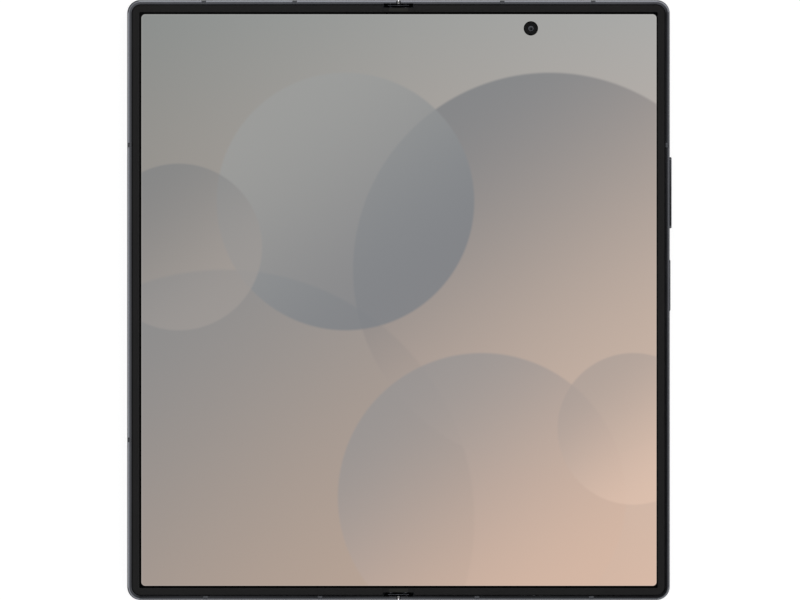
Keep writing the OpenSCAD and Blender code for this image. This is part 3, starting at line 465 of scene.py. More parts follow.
# Picture on the lit screen: soft discs over a grey to peach ground, all in millimetres
picture = {
    "litHalf": (67.98, 75.42),
    "litCentre": (0.12, -0.01),
    "litRadius": 1.0,
    "litSoft": 0.02,
    "topLeft": (0.255, 0.268, 0.262), "topRight": (0.4, 0.402, 0.392),
    "bottomLeft": (0.41, 0.33, 0.28), "bottomRight": (0.69, 0.49, 0.385),
    "discs": [
        # centre, radius, softness, colour at its low end, colour at its high end, opacity
        ((-46, -58), 66, 1.2, (0.47, 0.36, 0.29), (0.24, 0.25, 0.26), 0.75),
        ((40, 8), 52, 0.9, (0.58, 0.45, 0.37), (0.19, 0.2, 0.215), 0.75),
        ((-14, 26), 34, 0.9, (0.2, 0.215, 0.235), (0.33, 0.335, 0.33), 0.8),
        ((22, -52), 38, 0.9, (0.66, 0.47, 0.37), (0.3, 0.29, 0.29), 0.75),
        ((-58, 14), 22, 0.8, (0.36, 0.33, 0.31), (0.2, 0.21, 0.22), 0.6),
        ((62, -34), 20, 0.8, (0.74, 0.54, 0.43), (0.4, 0.34, 0.31), 0.7),
    ],
    "discLean": (0.6, -0.8, 0),     # the way a disc's colour changes
    "rimColour": (0.9, 0.86, 0.82), "rimLight": 0.1, "rimBand": (0.32, 0.1),
    "size": (139.7, 154.9),
    "offColour": (0.0008, 0.0008, 0.001), "rough": 0.08, "gloss": 0.3,
}


def makePicture(name):
    material, tree, shader = shaderTree(name)
    width, height = picture["size"]
    uv = makeNode(tree, "ShaderNodeUVMap", {"uv_map": "picture"})
    spot = makeNode(tree, "ShaderNodeMapping", Vector=uv, Scale=(width, height, 1),
                    Location=(-width / 2, -height / 2, 0))
    across, up = makeNode(tree, "ShaderNodeSeparateXYZ", Vector=uv).outputs[:2]

    top = blendColours(tree, picture["topLeft"], picture["topRight"], across)
    bottom = blendColours(tree, picture["bottomLeft"], picture["bottomRight"], across)
    colour = blendColours(tree, bottom, top, up)
    lean = picture["discLean"]
    for centre, radius, soft, low, high, opacity in picture["discs"]:
        away = vectorMath(tree, "DISTANCE", spot, (*centre, 0))
        inside = mapRange(tree, away, (radius + soft / 2, radius - soft / 2), (0, opacity), smooth=True)
        middle = lean[0] * centre[0] + lean[1] * centre[1]
        ramp = mapRange(tree, vectorMath(tree, "DOT_PRODUCT", spot, lean),
                        (middle - radius, middle + radius), smooth=True)
        colour = blendColours(tree, colour, blendColours(tree, high, low, ramp), inside)

    edge, soft = picture["litRadius"], picture["litSoft"]
    reach = roundedReach(tree, spot, picture["litCentre"], picture["litHalf"], edge)
    band = [edge - inset for inset in picture["rimBand"]]
    rim = mapRange(tree, reach, band, (0, picture["rimLight"]), smooth=True)
    colour = blendColours(tree, colour, picture["rimColour"], rim)
    colour = blendColours(tree, (0, 0, 0), colour, mapRange(tree, reach, (edge + soft, edge - soft)))
    setInputs(tree, shader, Emission_Color=colour, Emission_Strength=1, Base_Color=picture["offColour"],
              Roughness=picture["rough"], Specular_IOR_Level=picture["gloss"])
    return material


materials = {name: makeFinish(name, *look) for name, look in finishes.items()}
materials["lens_glass"] = makeClear("lens_glass")
materials["screen_glass"] = makePicture("screen_picture")


smoothAngle = 30


# Finishes a piece: smooth shading up to an angle, material, slot, body, and the nodes that it stands in for
def dress(thing, slotName, body, *nodes, smooth=smoothAngle, look=None):
    if smooth:
        smoothByAngle(thing, smooth)
    if look or not thing.data.materials:
        thing.data.materials.append(look or materials[slotName])
    if body:
        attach(thing, body)
    if nodes:
        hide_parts(*nodes)
    return thing


bodyOf = {node: body for body, nodes in frame["record"]["behaviour"]["bodies"].items() for node in nodes}
slotOf = {part["node"]: part["material_slot"] for part in frame["record"]["subparts"]}

for node, slotName in slotOf.items():
    for slotOnNode in frame["nodes"][node].material_slots:
        slotOnNode.material = materials[slotName]
print("materials done")


# ---- the folding screen

screen = {
    "edge": 1.75,           # from the outer face of the wall
    "cornerRadius": 1.75,
    "foldHalfHeight": 77.2,
    "columnStep": 0.15,     # columns are this fine over the hinge
    "stepHalf": 0.001,      # half the width of the step to the full height
    "wideFrom": 5, "wideStep": 3.5, "wideCount": 18, "cornerSteps": 10, "rowCount": 24,
    "crease": 0.035,        # depth of the shallow valley over the hinge
    "creaseWidth": 2.2,
    "bendStart": 2.6,
    "bendEnd": 0.3,
    # room under the screen for the timing arms when shut
    "relief": dict(x=(1.0, 4.0), y=(52.2, 55.2), depth=0.22, step=0.12, slack=0.02),
    "holeDiameter": 3.8, "holeLevels": (4, 7.15), "holeSegments": 64,
    "holeAt": (34.94, 71.7),
    "smooth": 35,
}


def screenReach(x):
    outer = phone["halfWidth"] - screen["edge"]
    radius = screen["cornerRadius"]
    full = phone["halfHeight"] - screen["edge"]
    if x < phone["bendHalf"]:
        return screen["foldHalfHeight"]
    if x > outer - radius:
        return full - radius + math.sqrt(max(0, radius ** 2 - (x - outer + radius) ** 2))
    return full


def screenColumns():
    fold, radius = phone["bendHalf"], screen["cornerRadius"]
    half, wideFrom, wideStep, count = take(screen, "stepHalf wideFrom wideStep wideCount")
    corner = phone["halfWidth"] - screen["edge"] - radius
    steps = int(fold / screen["columnStep"])
    return ([fold * i / steps for i in range(steps)] + [fold - half, fold + half]
            + [wideFrom + i * wideStep for i in range(count)]
            + [corner + radius * math.sin(a) for a in quarter(screen["cornerSteps"])])


# Rows of the screen as shares of its half height, with a pair at each side of the arms' reliefs
def screenRows():
    even, step = screen["rowCount"], screen["relief"]["step"]
    low, high = screen["relief"]["y"]
    shares = [2 * j / even - 1 for j in range(even + 1)]
    edges = (low - step, low, high, high + step)
    return sorted(shares + [end * y / screen["foldHalfHeight"] for end in (-1, 1) for y in edges])


# True on the rows and columns between the outermost ones of a relief
def inRelief(x, y):
    (x0, x1), (y0, y1), slack = take(screen["relief"], "x y slack")
    return x0 < x < x1 and y0 - slack < abs(y) < y1 + slack


def makeScreen(name, side):
    bm = bmesh.new()
    columns, shares = screenColumns(), screenRows()
    layers = []
    for level, depth in ((phone["screenBottom"], screen["relief"]["depth"]), (phone["screenTop"], 0)):
        grid = []
        for x in columns:
            sink = screen["crease"] * math.exp(-(x / screen["creaseWidth"]) ** 2)
            spots = [(x, screenReach(x) * share) for share in shares]
            grid.append([bm.verts.new((side * x * mm, y * mm, (level - sink + depth * inRelief(x, y)) * mm))
                         for x, y in spots])
        layers.append(grid)
    low, high = layers
    last, rows = len(columns) - 1, len(shares) - 1
    for i in range(last):
        for j in range(rows):
            bm.faces.new((low[i][j], low[i][j + 1], low[i + 1][j + 1], low[i + 1][j]))
            bm.faces.new((high[i][j], high[i + 1][j], high[i + 1][j + 1], high[i][j + 1]))
        for j in (0, rows):
            bm.faces.new((low[i][j], low[i + 1][j], high[i + 1][j], high[i][j]))
    for i in (0, last):
        for j in range(rows):
            bm.faces.new((low[i][j], low[i][j + 1], high[i][j + 1], high[i][j]))
    layer = bm.loops.layers.uv.new("picture")
    for face in bm.faces:
        for loop in face.loops:
            x, y, z = loop.vert.co / mm
            loop[layer].uv = (x / picture["size"][0] + 0.5, y / picture["size"][1] + 0.5)
    thing = fromBmesh(name, bm)
    if side > 0:
        cut(thing, plug("holeCutter", screen["holeDiameter"] / 2, screen["holeLevels"], screen["holeAt"],
                        screen["holeSegments"]))
    thing.data.materials.clear()
    return thing


def bendAcross(thing, side):
    if side < 0:
        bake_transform(thing)
    else:
        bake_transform(thing)


for side, sideName in sides:
    sheet = makeScreen(sideName + "Screen", side)
    dress(sheet, "screen_glass", None, "screen_" + sideName, "screen_fold", smooth=screen["smooth"])
    bendAcross(sheet, side)
print("screen done")


# ---- bezels: one profile swept round three sides of each half

bezel = {
    "width": 1.85,
    "roundOuter": 0.14,
    "roundSteps": 4,
    "slope": 0.55,          # width of the gentle fall towards the screen
    "drop": 0.07,
    "bulge": 0.3,           # share of the drop at the middle of the slope
    "innerEdge": (0.04, 0.03),
    "cornerSteps": 16,
    "skirt": 0.35,
    "skirtBottom": 5.4,
    "lipOut": 0.17,         # soft lip that closes the gap to the metal wall
    "lipLevels": (5.6, 5.85),
}


def bezelSweep(tree, given):
    path = makeNode(tree, "GeometryNodeMeshToCurve", Mesh=given["Geometry"])
    rounded = makeNode(tree, "GeometryNodeFilletCurve", {"mode": "POLY"}, Curve=levelCurve(tree, path),
                       Radius=given["Radius"], Count=given["Steps"])
    return sweep(tree, rounded, given["Profile"])


# Points across the bezel: first the distance inward from its outer side, then the height
def bezelSection():
    top, low = take(phone, "rimTop screenTop")
    width, slope, drop, bulge = take(bezel, "width slope drop bulge")
    radius, skirt, bottom, lip = take(bezel, "roundOuter skirt skirtBottom lipOut")
    (edgeWidth, edgeHeight), (lipLow, lipHigh) = take(bezel, "innerEdge lipLevels")
    return ([(0, bottom), (skirt, bottom), (skirt, low), (width, low), (width, top - drop - edgeHeight),
             (width - edgeWidth, top - drop), (width - slope * 0.5, top - drop * bulge),
             (width - slope, top)]
            + [(radius - radius * math.sin(a), top - radius + radius * math.cos(a))
               for a in quarter(bezel["roundSteps"])]
            + [(0, lipHigh), (-lip, lipHigh), (-lip, lipLow), (0, lipLow)])


def makeBezel(side, sideName):
    inset = phone["bezelOuter"]
    x, y = side * (phone["halfWidth"] - inset), phone["halfHeight"] - inset
    start = side * phone["bendHalf"]
    corners = [(start, y, 0), (x, y, 0), (x, -y, 0), (start, -y, 0)]
    path = outlineMesh(sideName + "Bezel", corners, closed=False)
    section = [(side * u, -v, 0) for u, v in bezelSection()]      # the sweep turns it over
    grow(path, bezelSweep, "bezel_plastic", Profile=outlineMesh("section", section, closed=True),
         Radius=(phone["cornerRadius"] - inset) * mm, Steps=bezel["cornerSteps"])
    weld(path)
    dress(path, "bezel_plastic", sideName + "_half", sideName + "_bezel")


for side, sideName in sides:
    makeBezel(side, sideName)
print("bezels done")


# ---- soft trims over the two ends of the fold, and the ribbon cable under it

trims = {
    "Trim": dict(halfWidth=4.1, y=(76.0, 77.2), levels=(phone["screenTop"], 6.32), look="bezel_plastic"),
    "Pad": dict(halfWidth=2.55, y=(76.15, 77.1), levels=(6.3, 6.4), look="trim_pad"),
}
trimEdge, trimColumns = 0.06, 28
ribbon = {
    "halfWidth": 18.9, "y": (37.9, 44.9), "levels": (4.7, 4.82), "edge": 0.01, "columns": 60,
    "bendStart": 6.0, "bendEnd": 0.3,
}

for side, sideName in sides:
    for end, endName in ((1, "Top"), (-1, "Bottom")):
        for pieceName, piece in trims.items():
            strip = bendingBar(sideName + pieceName + endName, 0, side * piece["halfWidth"],
                               sorted(end * y for y in piece["y"]), piece["levels"], trimEdge, trimColumns)
            dress(strip, "bezel_plastic", None, "fold_trim_" + endName.lower(), smooth=0,
                  look=materials[piece["look"]])
            bendAcross(strip, side)
    y, levels, edge, columns = take(ribbon, "y levels edge columns")
    strap = bendingBar(sideName + "Ribbon", 0, side * ribbon["halfWidth"], y, levels, edge, columns)
    dress(strap, "flex_film", None, "hinge_flex", smooth=0)
    bendAcross(strap, side)
print("trims and ribbon done")


# ---- metal parts that keep the shape of their solids, with clean shading over their curves

smoothNodes = {
    "leftFrame": "left_frame", "rightFrame": "right_frame", "hingeCover": "hinge_cover",
    "simTray": "sim_tray",
    "leftBreaks": "left_antenna_breaks", "rightBreaks": "right_antenna_breaks",
    "swingArmsLeft": "swing_arms_left", "swingArmsRight": "swing_arms_right",
    "bracketTop": "hinge_bracket_top", "bracketMiddle": "hinge_bracket_middle",
    "bracketBottom": "hinge_bracket_bottom",
}
sharpAngle = 17
weldReach = 1e-6
crown = {"at": 0.55, "near": 0.03, "below": 0.01, "fall": 0.05}     # the rim's top falls gently to its bevel
# where the hinge cover's ends are painted near black, as a liner and as painted shade of the gaps
endLinerAndShade = {"level": (5.2, 5.27), "fromY": 77.2, "facing": 0.9, "seamHalf": 0.12, "seamFromY": 78.25}


# Faces at the ends of the hinge cover painted near black, beside the crest and in the seam: partly a dark
# liner, partly painted shade that stands in for the shadow in the gaps there
def paintEndLinerAndShade(thing):
    thing.data.materials.append(materials["hinge_liner_and_shade"])
    low, high = endLinerAndShade["level"]
    for face in thing.data.polygons:
        x, y, z = face.center / mm
        beside = abs(y) > endLinerAndShade["fromY"] and low < z < high and face.normal.z > endLinerAndShade["facing"]
        inSeam = abs(x) < endLinerAndShade["seamHalf"] and abs(y) > endLinerAndShade["seamFromY"]
        if beside or inSeam:
            face.material_index = 1


# How far a point lies in from the outer face of the phone's side walls
def wallDepth(x, y):
    radius = phone["cornerRadius"]
    overX = abs(x) - phone["halfWidth"] + radius
    overY = abs(y) - phone["halfHeight"] + radius
    if overX > 0 and overY > 0:
        return radius - math.hypot(overX, overY)
    return radius - max(overX, overY)


def crownRim(thing):
    moved = set()
    for vertex in thing.data.vertices:
        x, y, z = vertex.co / mm
        if z > phone["rimTop"] - crown["below"] and abs(wallDepth(x, y) - crown["at"]) < crown["near"]:
            vertex.co.z -= crown["fall"] * mm
            moved.add(vertex.index)
    return moved


def smoothCopy(name, node):
    bm = bmesh.new()
    bm.from_mesh(frame["nodes"][node].data)
    bmesh.ops.remove_doubles(bm, verts=bm.verts, dist=weldReach)
    thing = fromBmesh(name, bm, outward=False)
    thing.data.materials.clear()
    rim = crownRim(thing)
    smoothByAngle(thing, sharpAngle)
    for edge in thing.data.edges:
        if rim.issuperset(edge.vertices):
            edge.use_edge_sharp = True
    thing.modifiers.new("normals", "WEIGHTED_NORMAL").keep_sharp = True
    keepEvaluated(thing)
    return dress(thing, slotOf[node], bodyOf[node], node, smooth=0)


for name, node in smoothNodes.items():
    copied = smoothCopy(name, node)
    # the hinge cover's ends get their liner and painted shade
    if name == "hingeCover":
        paintEndLinerAndShade(copied)
print("frames done")


# ---- keys on the right side wall

keys = {
    "level": 4.05, "height": 1.5, "wallInside": 70.45, "round": 0.22, "roundSteps": 6, "footInset": 0.02,
    "flangeThick": 0.35, "flangeGap": 0.25, "flangeHeight": 1.75, "flangeOver": 0.8, "flangeRound": 0.3,
    "volume": dict(y=28.35, length=18.8, rise=0.55),
    "power": dict(y=3.88, length=13.5, rise=0.25),
}


def onWall(x, y, outline):
    return [(x, y + along, keys["level"] + up) for up, along in outline]


def makeKey(name):
    y, length, rise = take(keys[name], "y length rise")
    height, over, thick = take(keys, "height flangeOver flangeThick")
    face, back = phone["halfWidth"] + rise, keys["wallInside"] - keys["flangeGap"]
    edges = [(back, keys["footInset"])]
    edges += [(face - drop, inset) for drop, inset in roundedEdge(keys["round"], keys["roundSteps"])]
    cap = loft("cap", [onWall(x, y, stadium(height - 2 * inset, length - 2 * inset)) for x, inset in edges])
    outline = roundedOutline(keys["flangeHeight"], length + 2 * over, keys["flangeRound"])
    flange = loft("flange", [onWall(x, y, outline) for x in (back - thick, back)])
    dress(join(name + "Key", [cap, flange]), "frame_metal", name + "_key", name + "_key")


makeKey("volume")
makeKey("power")
print("keys done")


# ---- camera island on the rear glass

island = {
    "at": (56.4, 47.0), "width": 18.0, "length": 52.0, "low": 0.6, "high": 2.2, "roundSteps": 40,
    "edge": 0.35, "edgeSteps": 6, "foot": 3.2, "footInset": 0.65, "smooth": 28,
    "lensY": (63.8, 47.0, 30.2), "boreRadius": 5.6, "boreChamfer": 0.15, "boreEnds": (-1, 5),
    "pocketRadius": 5.75, "pocketLow": 1.1,
    # turned rings: places from the inner and from the outer radius, and heights
    "ringInner": 5.55, "ringWall": [(0, 0.16), (0.14, 0.02), (0.2, 0)],
    "ringOuter": 6.8, "ringFace": [(-0.62, 0), (-0.58, 0.05), (-0.5, 0.05), (-0.46, 0),
                                   (-0.3, 0), (-0.16, 0.05), (-0.05, 0.16), (0, 0.3)],
    "ringSegments": 128, "windowRadius": 5.5, "windowLow": 0.2, "windowHigh": 0.9,
    "windowEdge": 0.05, "windowBevel": 0.1,
}
lensSpots = [(island["at"][0], y) for y in island["lensY"]]


def islandOutline(inset):
    return stadium(island["width"] - 2 * inset, island["length"] - 2 * inset, island["roundSteps"])


def makeIsland():
    low, high, foot, inset = take(island, "low high foot footInset")
    edges = roundedEdge(island["edge"], island["edgeSteps"])
    levels = [(low + drop, side) for drop, side in reversed(edges)]
    levels += [(high, 0), (high, inset), (foot, inset)]
    rings = [ringAt(islandOutline(side), island["at"], level) for level, side in levels]
    thing = loft("cameraIsland", rings)
    bore, chamfer, pocket, deep = take(island, "boreRadius boreChamfer pocketRadius pocketLow")
    start, end = island["boreEnds"]
    profile = [(0, start), (bore + chamfer, start), (bore + chamfer, low), (bore, low + chamfer),
               (bore, deep), (pocket, deep), (pocket, end), (0, end)]
    cut(thing, *[lathe("bore", profile, spot) for spot in lensSpots])
    dress(thing, "frame_metal", "right_half", "camera_island", smooth=island["smooth"])


# Turned rings with a dished inner wall and a fine groove round their faces
def makeRings():
    inner, outer, high = take(island, "ringInner ringOuter low")
    profile = ([(inner, high)] + [(inner + u, v) for u, v in island["ringWall"]]
               + [(outer + u, v) for u, v in island["ringFace"]] + [(outer, high)])
    rings = [lathe("ring", profile, spot, island["ringSegments"]) for spot in lensSpots]
    dress(join("lensRings", rings), "ring_metal", "right_half", "lens_rings")


def makeWindows():
    low, high, radius = take(island, "windowLow windowHigh windowRadius")
    edge, bevel = take(island, "windowEdge windowBevel")
    profile = [(0, high), (radius - edge, high), (radius, high - edge), (radius, low + bevel),
               (radius - bevel, low), (0, low)]
    windows = [lathe("window", profile, spot) for spot in lensSpots]
    dress(join("lensWindows", windows), "lens_glass", "right_half", "lens_windows")


# Camera barrel: black steps lead down to a small front element with a coating
cameras = {
    "wide": dict(spot=0, barrel=4.6, base=10.6, mouth=2.9, steps=4,
                 tints=((0.012, 0.03, 0.06), (0.05, 0.012, 0.05))),
    "main": dict(spot=1, barrel=5.2, base=11.4, mouth=3.6, steps=5,
                 tints=((0.01, 0.04, 0.05), (0.02, 0.03, 0.09))),
    "tele": dict(spot=2, barrel=4.2, base=10.6, mouth=2.2, steps=5,
                 tints=((0.03, 0.012, 0.05), (0.012, 0.04, 0.05))),
}
barrels = {
    "front": 1.0, "back": 3.05, "bevel": 0.1, "rim": 0.35, "stepDepth": 0.13, "seat": 0.25, "segments": 96,
    "baseLevels": (2.95, 5.1), "baseRound": 0.6, "domeGap": 0.02, "domeSegments": 64, "domeSmooth": 40,
    # the dome's back, its edge and its rise above the edge, from the last step; steps of its round
    "dome": (0.24, 0.05, -0.3), "domeSteps": 8,
}


# Camera body: a turned tube on a square base
def makeHousing(name, node, profile, centre, segments, base, levels):
    tube = lathe("tube", profile, centre, segments)
    foot = block("foot", roundedOutline(base, base, barrels["baseRound"]), centre, levels)
    dress(join(name, [tube, foot]), "camera_black", "right_half", node)


# Front element: a dome of coated glass
def makeElement(name, node, centre, segments, radius, levels, steps, look):
    back, edge, rise = levels
    dome = [(0, back), (radius, back), (radius, edge)]
    dome += [(radius * math.cos(a), edge + rise * math.sin(a)) for a in quarter(steps)[1:-1]]
    element = lathe(name, dome + [(0, edge + rise)], centre, segments)
    dress(element, "lens_glass", "right_half", node, smooth=barrels["domeSmooth"], look=look)


def makeModule(name, node, camera):
    spot, barrel, base, mouth, steps, tints = take(camera, "spot barrel base mouth steps tints")
    depth, back, bevel, deep, seat = take(barrels, "front back bevel stepDepth seat")
    segments, domeSegments, domeSteps = take(barrels, "segments domeSegments domeSteps")
    centre = lensSpots[spot]
    profile = [(0, back), (barrel, back), (barrel, depth + bevel), (barrel - bevel, depth)]
    radius = barrel - barrels["rim"]
    shrink = (radius - mouth) / steps
    for i in range(steps):
        profile += [(radius, depth), (radius, depth + deep)]
        depth += deep
        radius -= shrink
    profile += [(radius, depth), (radius, depth + seat), (0, depth + seat)]
    makeHousing(name + "Body", node, profile, centre, segments, base, barrels["baseLevels"])
    look = makeLensCoating(name + "Coating", *tints, (*centre, depth), radius)
    back, edge, rise = barrels["dome"]
    makeElement(name + "Element", node, centre, domeSegments, radius - barrels["domeGap"],
                (depth + back, depth + edge, rise), domeSteps, look)


makeIsland()
makeRings()
makeWindows()
for name, camera in cameras.items():
    makeModule(name + "Camera", name + "_camera", camera)
print("cameras done")


# ---- flash window: rings of a flat lens over a pale emitter

flash = {
    "at": (41.4, 61.8), "radius": 2.3, "low": 2.22, "high": 3.05, "bevel": (0.1, 0.12), "rim": 0.22,
    "rings": 7, "ringLow": 0.01, "ringWidth": 0.02, "groove": 0.07, "middle": 0.02,
    "segments": 72, "smooth": 24,
}


def makeFlash():
    radius, low, high, (bevelWidth, bevelHeight) = take(flash, "radius low high bevel")
    count, ringLow, width, groove = take(flash, "rings ringLow ringWidth groove")
    profile = [(0, high), (radius, high), (radius, low + bevelHeight), (radius - bevelWidth, low)]
    inside = radius - flash["rim"]
    for at in [inside - i * (inside / count) for i in range(count)]:
        profile += [(at, low + ringLow), (at - width, low + groove)]
    thing = lathe("flashWindow", profile + [(0, low + flash["middle"])], flash["at"], flash["segments"])
    dress(thing, "flash_plastic", "right_half", "flash_window", smooth=flash["smooth"])


makeFlash()


# ---- glass of both backs: slabs whose outer edges are ground to a small round

glass = {
    "inner": 4.7, "outer": 70.4, "reach": 78.0, "low": 2.2, "high": 2.7,
    "innerRadius": 0.6, "outerRadius": 2.3, "cornerSteps": 8, "ground": 0.14, "groundSteps": 5,
    "cutLevels": (1, 4), "cutGap": 0.05,
    "earpiece": dict(at=(-38.125, 77.5), width=9.0, height=0.45, radius=0.215),
}


def glassRing(side, level, inset):
    left, right, reach = glass["inner"] + inset, glass["outer"] - inset, glass["reach"] - inset
    steps, outer, inner = take(glass, "cornerSteps outerRadius innerRadius")
    ring = []
    for turn, (signX, signY) in enumerate(((1, 1), (-1, 1), (-1, -1), (1, -1))):
        radius = (outer if signX > 0 else inner) - inset
        x = right - radius if signX > 0 else left + radius
        for i in range(steps + 1):
            angle = math.radians(90 * turn + 90 * i / steps)
            ring.append((side * (x + radius * math.cos(angle)),
                         signY * (reach - radius) + radius * math.sin(angle), level))
    return ring


def makeGlass(name, side, node, *cutters):
    edges = roundedEdge(glass["ground"], glass["groundSteps"])
    levels = [(glass["high"], 0)] + [(glass["low"] + drop, inset) for drop, inset in edges]
    thing = loft(name, [glassRing(side, level, inset) for level, inset in levels])
    cut(thing, *cutters)
    thing.data.materials.clear()
    dress(thing, slotOf[node], bodyOf[node], node)


def makeBacks():
    gap, levels, slit = take(glass, "cutGap cutLevels earpiece")
    outline = roundedOutline(slit["width"], slit["height"], slit["radius"])
    makeGlass("rearGlass", 1, "rear_glass",
              block("islandCutter", islandOutline(island["footInset"] - gap), island["at"], levels),
              plug("flashCutter", flash["radius"] + gap, levels, flash["at"], flash["segments"]))
    makeGlass("coverGlass", -1, "cover_glass", block("earpieceCutter", outline, slit["at"], levels))


makeBacks()
print("glass done")


# ---- inner camera under the hole in the screen

innerCamera = {
    "at": (34.94, 71.7), "radius": 1.75, "low": 4.95, "top": 6.0, "pupil": 0.78, "segments": 64,
    # how far in from the radius, and how far below the top
    "steps": [(0, 0.08), (0.08, 0), (0.28, 0), (0.3, 0.12), (0.5, 0.14), (0.52, 0.24)],
    "well": (0.3, 0.5), "base": 5.6, "baseLevels": (2.95, 5.05),
    "domeGap": 0.02, "dome": (0.49, 0.3, 0.16), "domeSteps": 6, "domeSegments": 48,
    "tints": ((0.02, 0.019, 0.018), (0.008, 0.0075, 0.006)),
}


def makeInnerCamera():
    name, node = "innerCamera", "inner_camera"
    centre, radius, low, top, pupil = take(innerCamera, "at radius low top pupil")
    wellTop, wellLow = (top - drop for drop in innerCamera["well"])
    profile = ([(0, low), (radius, low)] + [(radius - u, top - v) for u, v in innerCamera["steps"]]
               + [(pupil, wellTop), (pupil, wellLow), (0, wellLow)])
    makeHousing(name + "Body", node, profile, centre, *take(innerCamera, "segments base baseLevels"))
    pupil -= innerCamera["domeGap"]
    look = makeLensCoating("innerCoating", *innerCamera["tints"], (*centre, top), pupil)
    back, edge, rise = innerCamera["dome"]
    makeElement(name + "Element", node, centre, innerCamera["domeSegments"], pupil,
                (top - back, top - edge, rise), innerCamera["domeSteps"], look)


makeInnerCamera()
print("inner camera done")


# ---- USB socket: drawn steel shell, tongue with a row of contacts on each side

usb = {
    "x": 36.0, "level": 4.12, "size": (8.58, 2.8), "wall": 0.12,
    "mouth": -78.03, "back": -70.85, "floor": -71.25, "backEdge": 0.1,
    "lip": 0.06, "lipInsets": (0.036, 0.1), "shellSmooth": 40,
    "tongue": (6.68, 0.7), "tongueFront": -76.45, "tongueEdge": 0.1,
    "root": (7.2, 1.7), "rootFront": -72.45, "tongueRound": 0.2, "cornerSteps": 4,
    "pins": 12, "pitch": 0.5, "pinSize": (0.25, 2.6, 0.03), "pinFront": -76.2,
}


def socketRing(y, outline):
    return [(usb["x"] + along, y, usb["level"] + up) for up, along in outline]


def tongueRing(y, size, inset=0.0):
    (width, height), radius, steps = take(usb, size + " tongueRound cornerSteps")
    return socketRing(y, roundedOutline(height - 2 * inset, width - 2 * inset, radius, steps))


# A row of small flat bars, the first at the start point
def barRow(tree, given):
    line = makeNode(tree, "GeometryNodeMeshLine", Count=given["Count"], Start_Location=given["Start"],
                    Offset=makeNode(tree, "ShaderNodeCombineXYZ", X=given["Pitch"]))
    bar = makeNode(tree, "GeometryNodeMeshCube", Size=given["Size"])
    return makeNode(tree, "GeometryNodeInstanceOnPoints", Points=line, Instance=bar)


def makeRow(name, count, pitch, size, first, materialName):
    return grow(pointCloud(name, []), barRow, materialName, Count=count, Pitch=pitch * mm,
                Size=tuple(Vector(size) * mm), Start=tuple(Vector(first) * mm))


def makeUsb():
    mouth, back, floor, wall, backEdge = take(usb, "mouth back floor wall backEdge")
    inner, (outset, inset) = mouth + usb["lip"], usb["lipInsets"]
    width, height = usb["size"]
    shell = loft("usbShell", [
        socketRing(y, stadium(height - 2 * edge, width - 2 * edge)) for y, edge in (
            (back, backEdge), (back - backEdge, 0), (inner, 0), (mouth, outset), (mouth, inset),
            (inner, wall), (floor, wall))])
    dress(shell, "shield_metal", "right_half", "usb_socket", smooth=usb["shellSmooth"])
    root, front, edge = take(usb, "rootFront tongueFront tongueEdge")
    tongue = loft("usbTongue", [
        tongueRing(floor, "root"), tongueRing(root, "root"), tongueRing(root, "tongue"),
        tongueRing(front + edge, "tongue"), tongueRing(front, "tongue", edge)])
    dress(tongue, "speaker_plastic", "right_half", "usb_tongue")
    pins, pitch, size = take(usb, "pins pitch pinSize")
    for sideName, side in (("Upper", 1), ("Lower", -1)):
        first = (usb["x"] - pitch * (pins - 1) / 2, usb["pinFront"] + size[1] / 2,
                 usb["level"] + side * usb["tongue"][1] / 2)
        row = makeRow("usbContacts" + sideName, pins, pitch, size, first, "contact_gold")
        dress(row, "coil_copper", "right_half", "usb_tongue", smooth=0)


makeUsb()
print("socket done")


# ---- woven screens behind the loudspeaker holes

screens = {"x": 58.7, "wire": 0.05, "pitch": 0.13, "low": 3.42, "high": 4.82, "inside": 78.03}


def makeWovenScreen(name, side, sideName, end, width):
    wire, pitch, low, high, inside = take(screens, "wire pitch low high inside")
    middle, y = side * screens["x"], end * (inside - wire)
    count = int(width / pitch)
    wires = [makeRow("upright", count, pitch, (wire, wire, high - low),
                     (middle - pitch * (count - 1) / 2, y, (low + high) / 2), "mesh_wire")]
    wires += [makeRow("level", 1, pitch, (width, wire, wire),
                      (middle, y + wire * 0.5 * end, low + pitch * (i + 0.5)), "mesh_wire")
              for i in range(int((high - low) / pitch))]
    dress(join(name, wires), "speaker_plastic", sideName + "_half", smooth=0, look=materials["mesh_wire"])


makeWovenScreen("bottomSpeakerScreen", 1, "right", -1, 12.4)
makeWovenScreen("topSpeakerScreen", -1, "left", 1, 10.6)
print("speaker screens done")


# ---- screws of the hinge: one driver head, set on the points of each body

screws = {
    "rows": (62.0, 0.0, -62.0), "shank": 0.47, "head": 0.95, "headThick": 0.35, "edge": 0.06,
    "socket": 0.46, "socketFall": 0.03, "lobes": 6, "lobe": 0.07, "socketDeep": 0.2, "points": 48,
}
screwGroups = {
    "bracketScrews": dict(x=0, apart=5.3, low=3.0, high=5.12, body="spine", node="hinge_screws"),
    "leftArmScrews": dict(x=-12.8, apart=2.4, low=2.95, high=5.35,
                          body="left_half", node="left_arm_screws"),
    "rightArmScrews": dict(x=12.8, apart=2.4, low=2.95, high=5.35,
                           body="right_half", node="right_arm_screws"),
}


def roundRing(radius, level, lobe=0.0):
    ring = []
    for i in range(screws["points"]):
        a = 2 * math.pi * i / screws["points"]
        reach = radius + lobe * math.cos(screws["lobes"] * a)
        ring.append((reach * math.cos(a), reach * math.sin(a), level))
    return ring


def setScrews(tree, given):
    return makeNode(tree, "GeometryNodeInstanceOnPoints", Points=given["Geometry"],
                    Instance=shapeOf(tree, given["Screw"]))


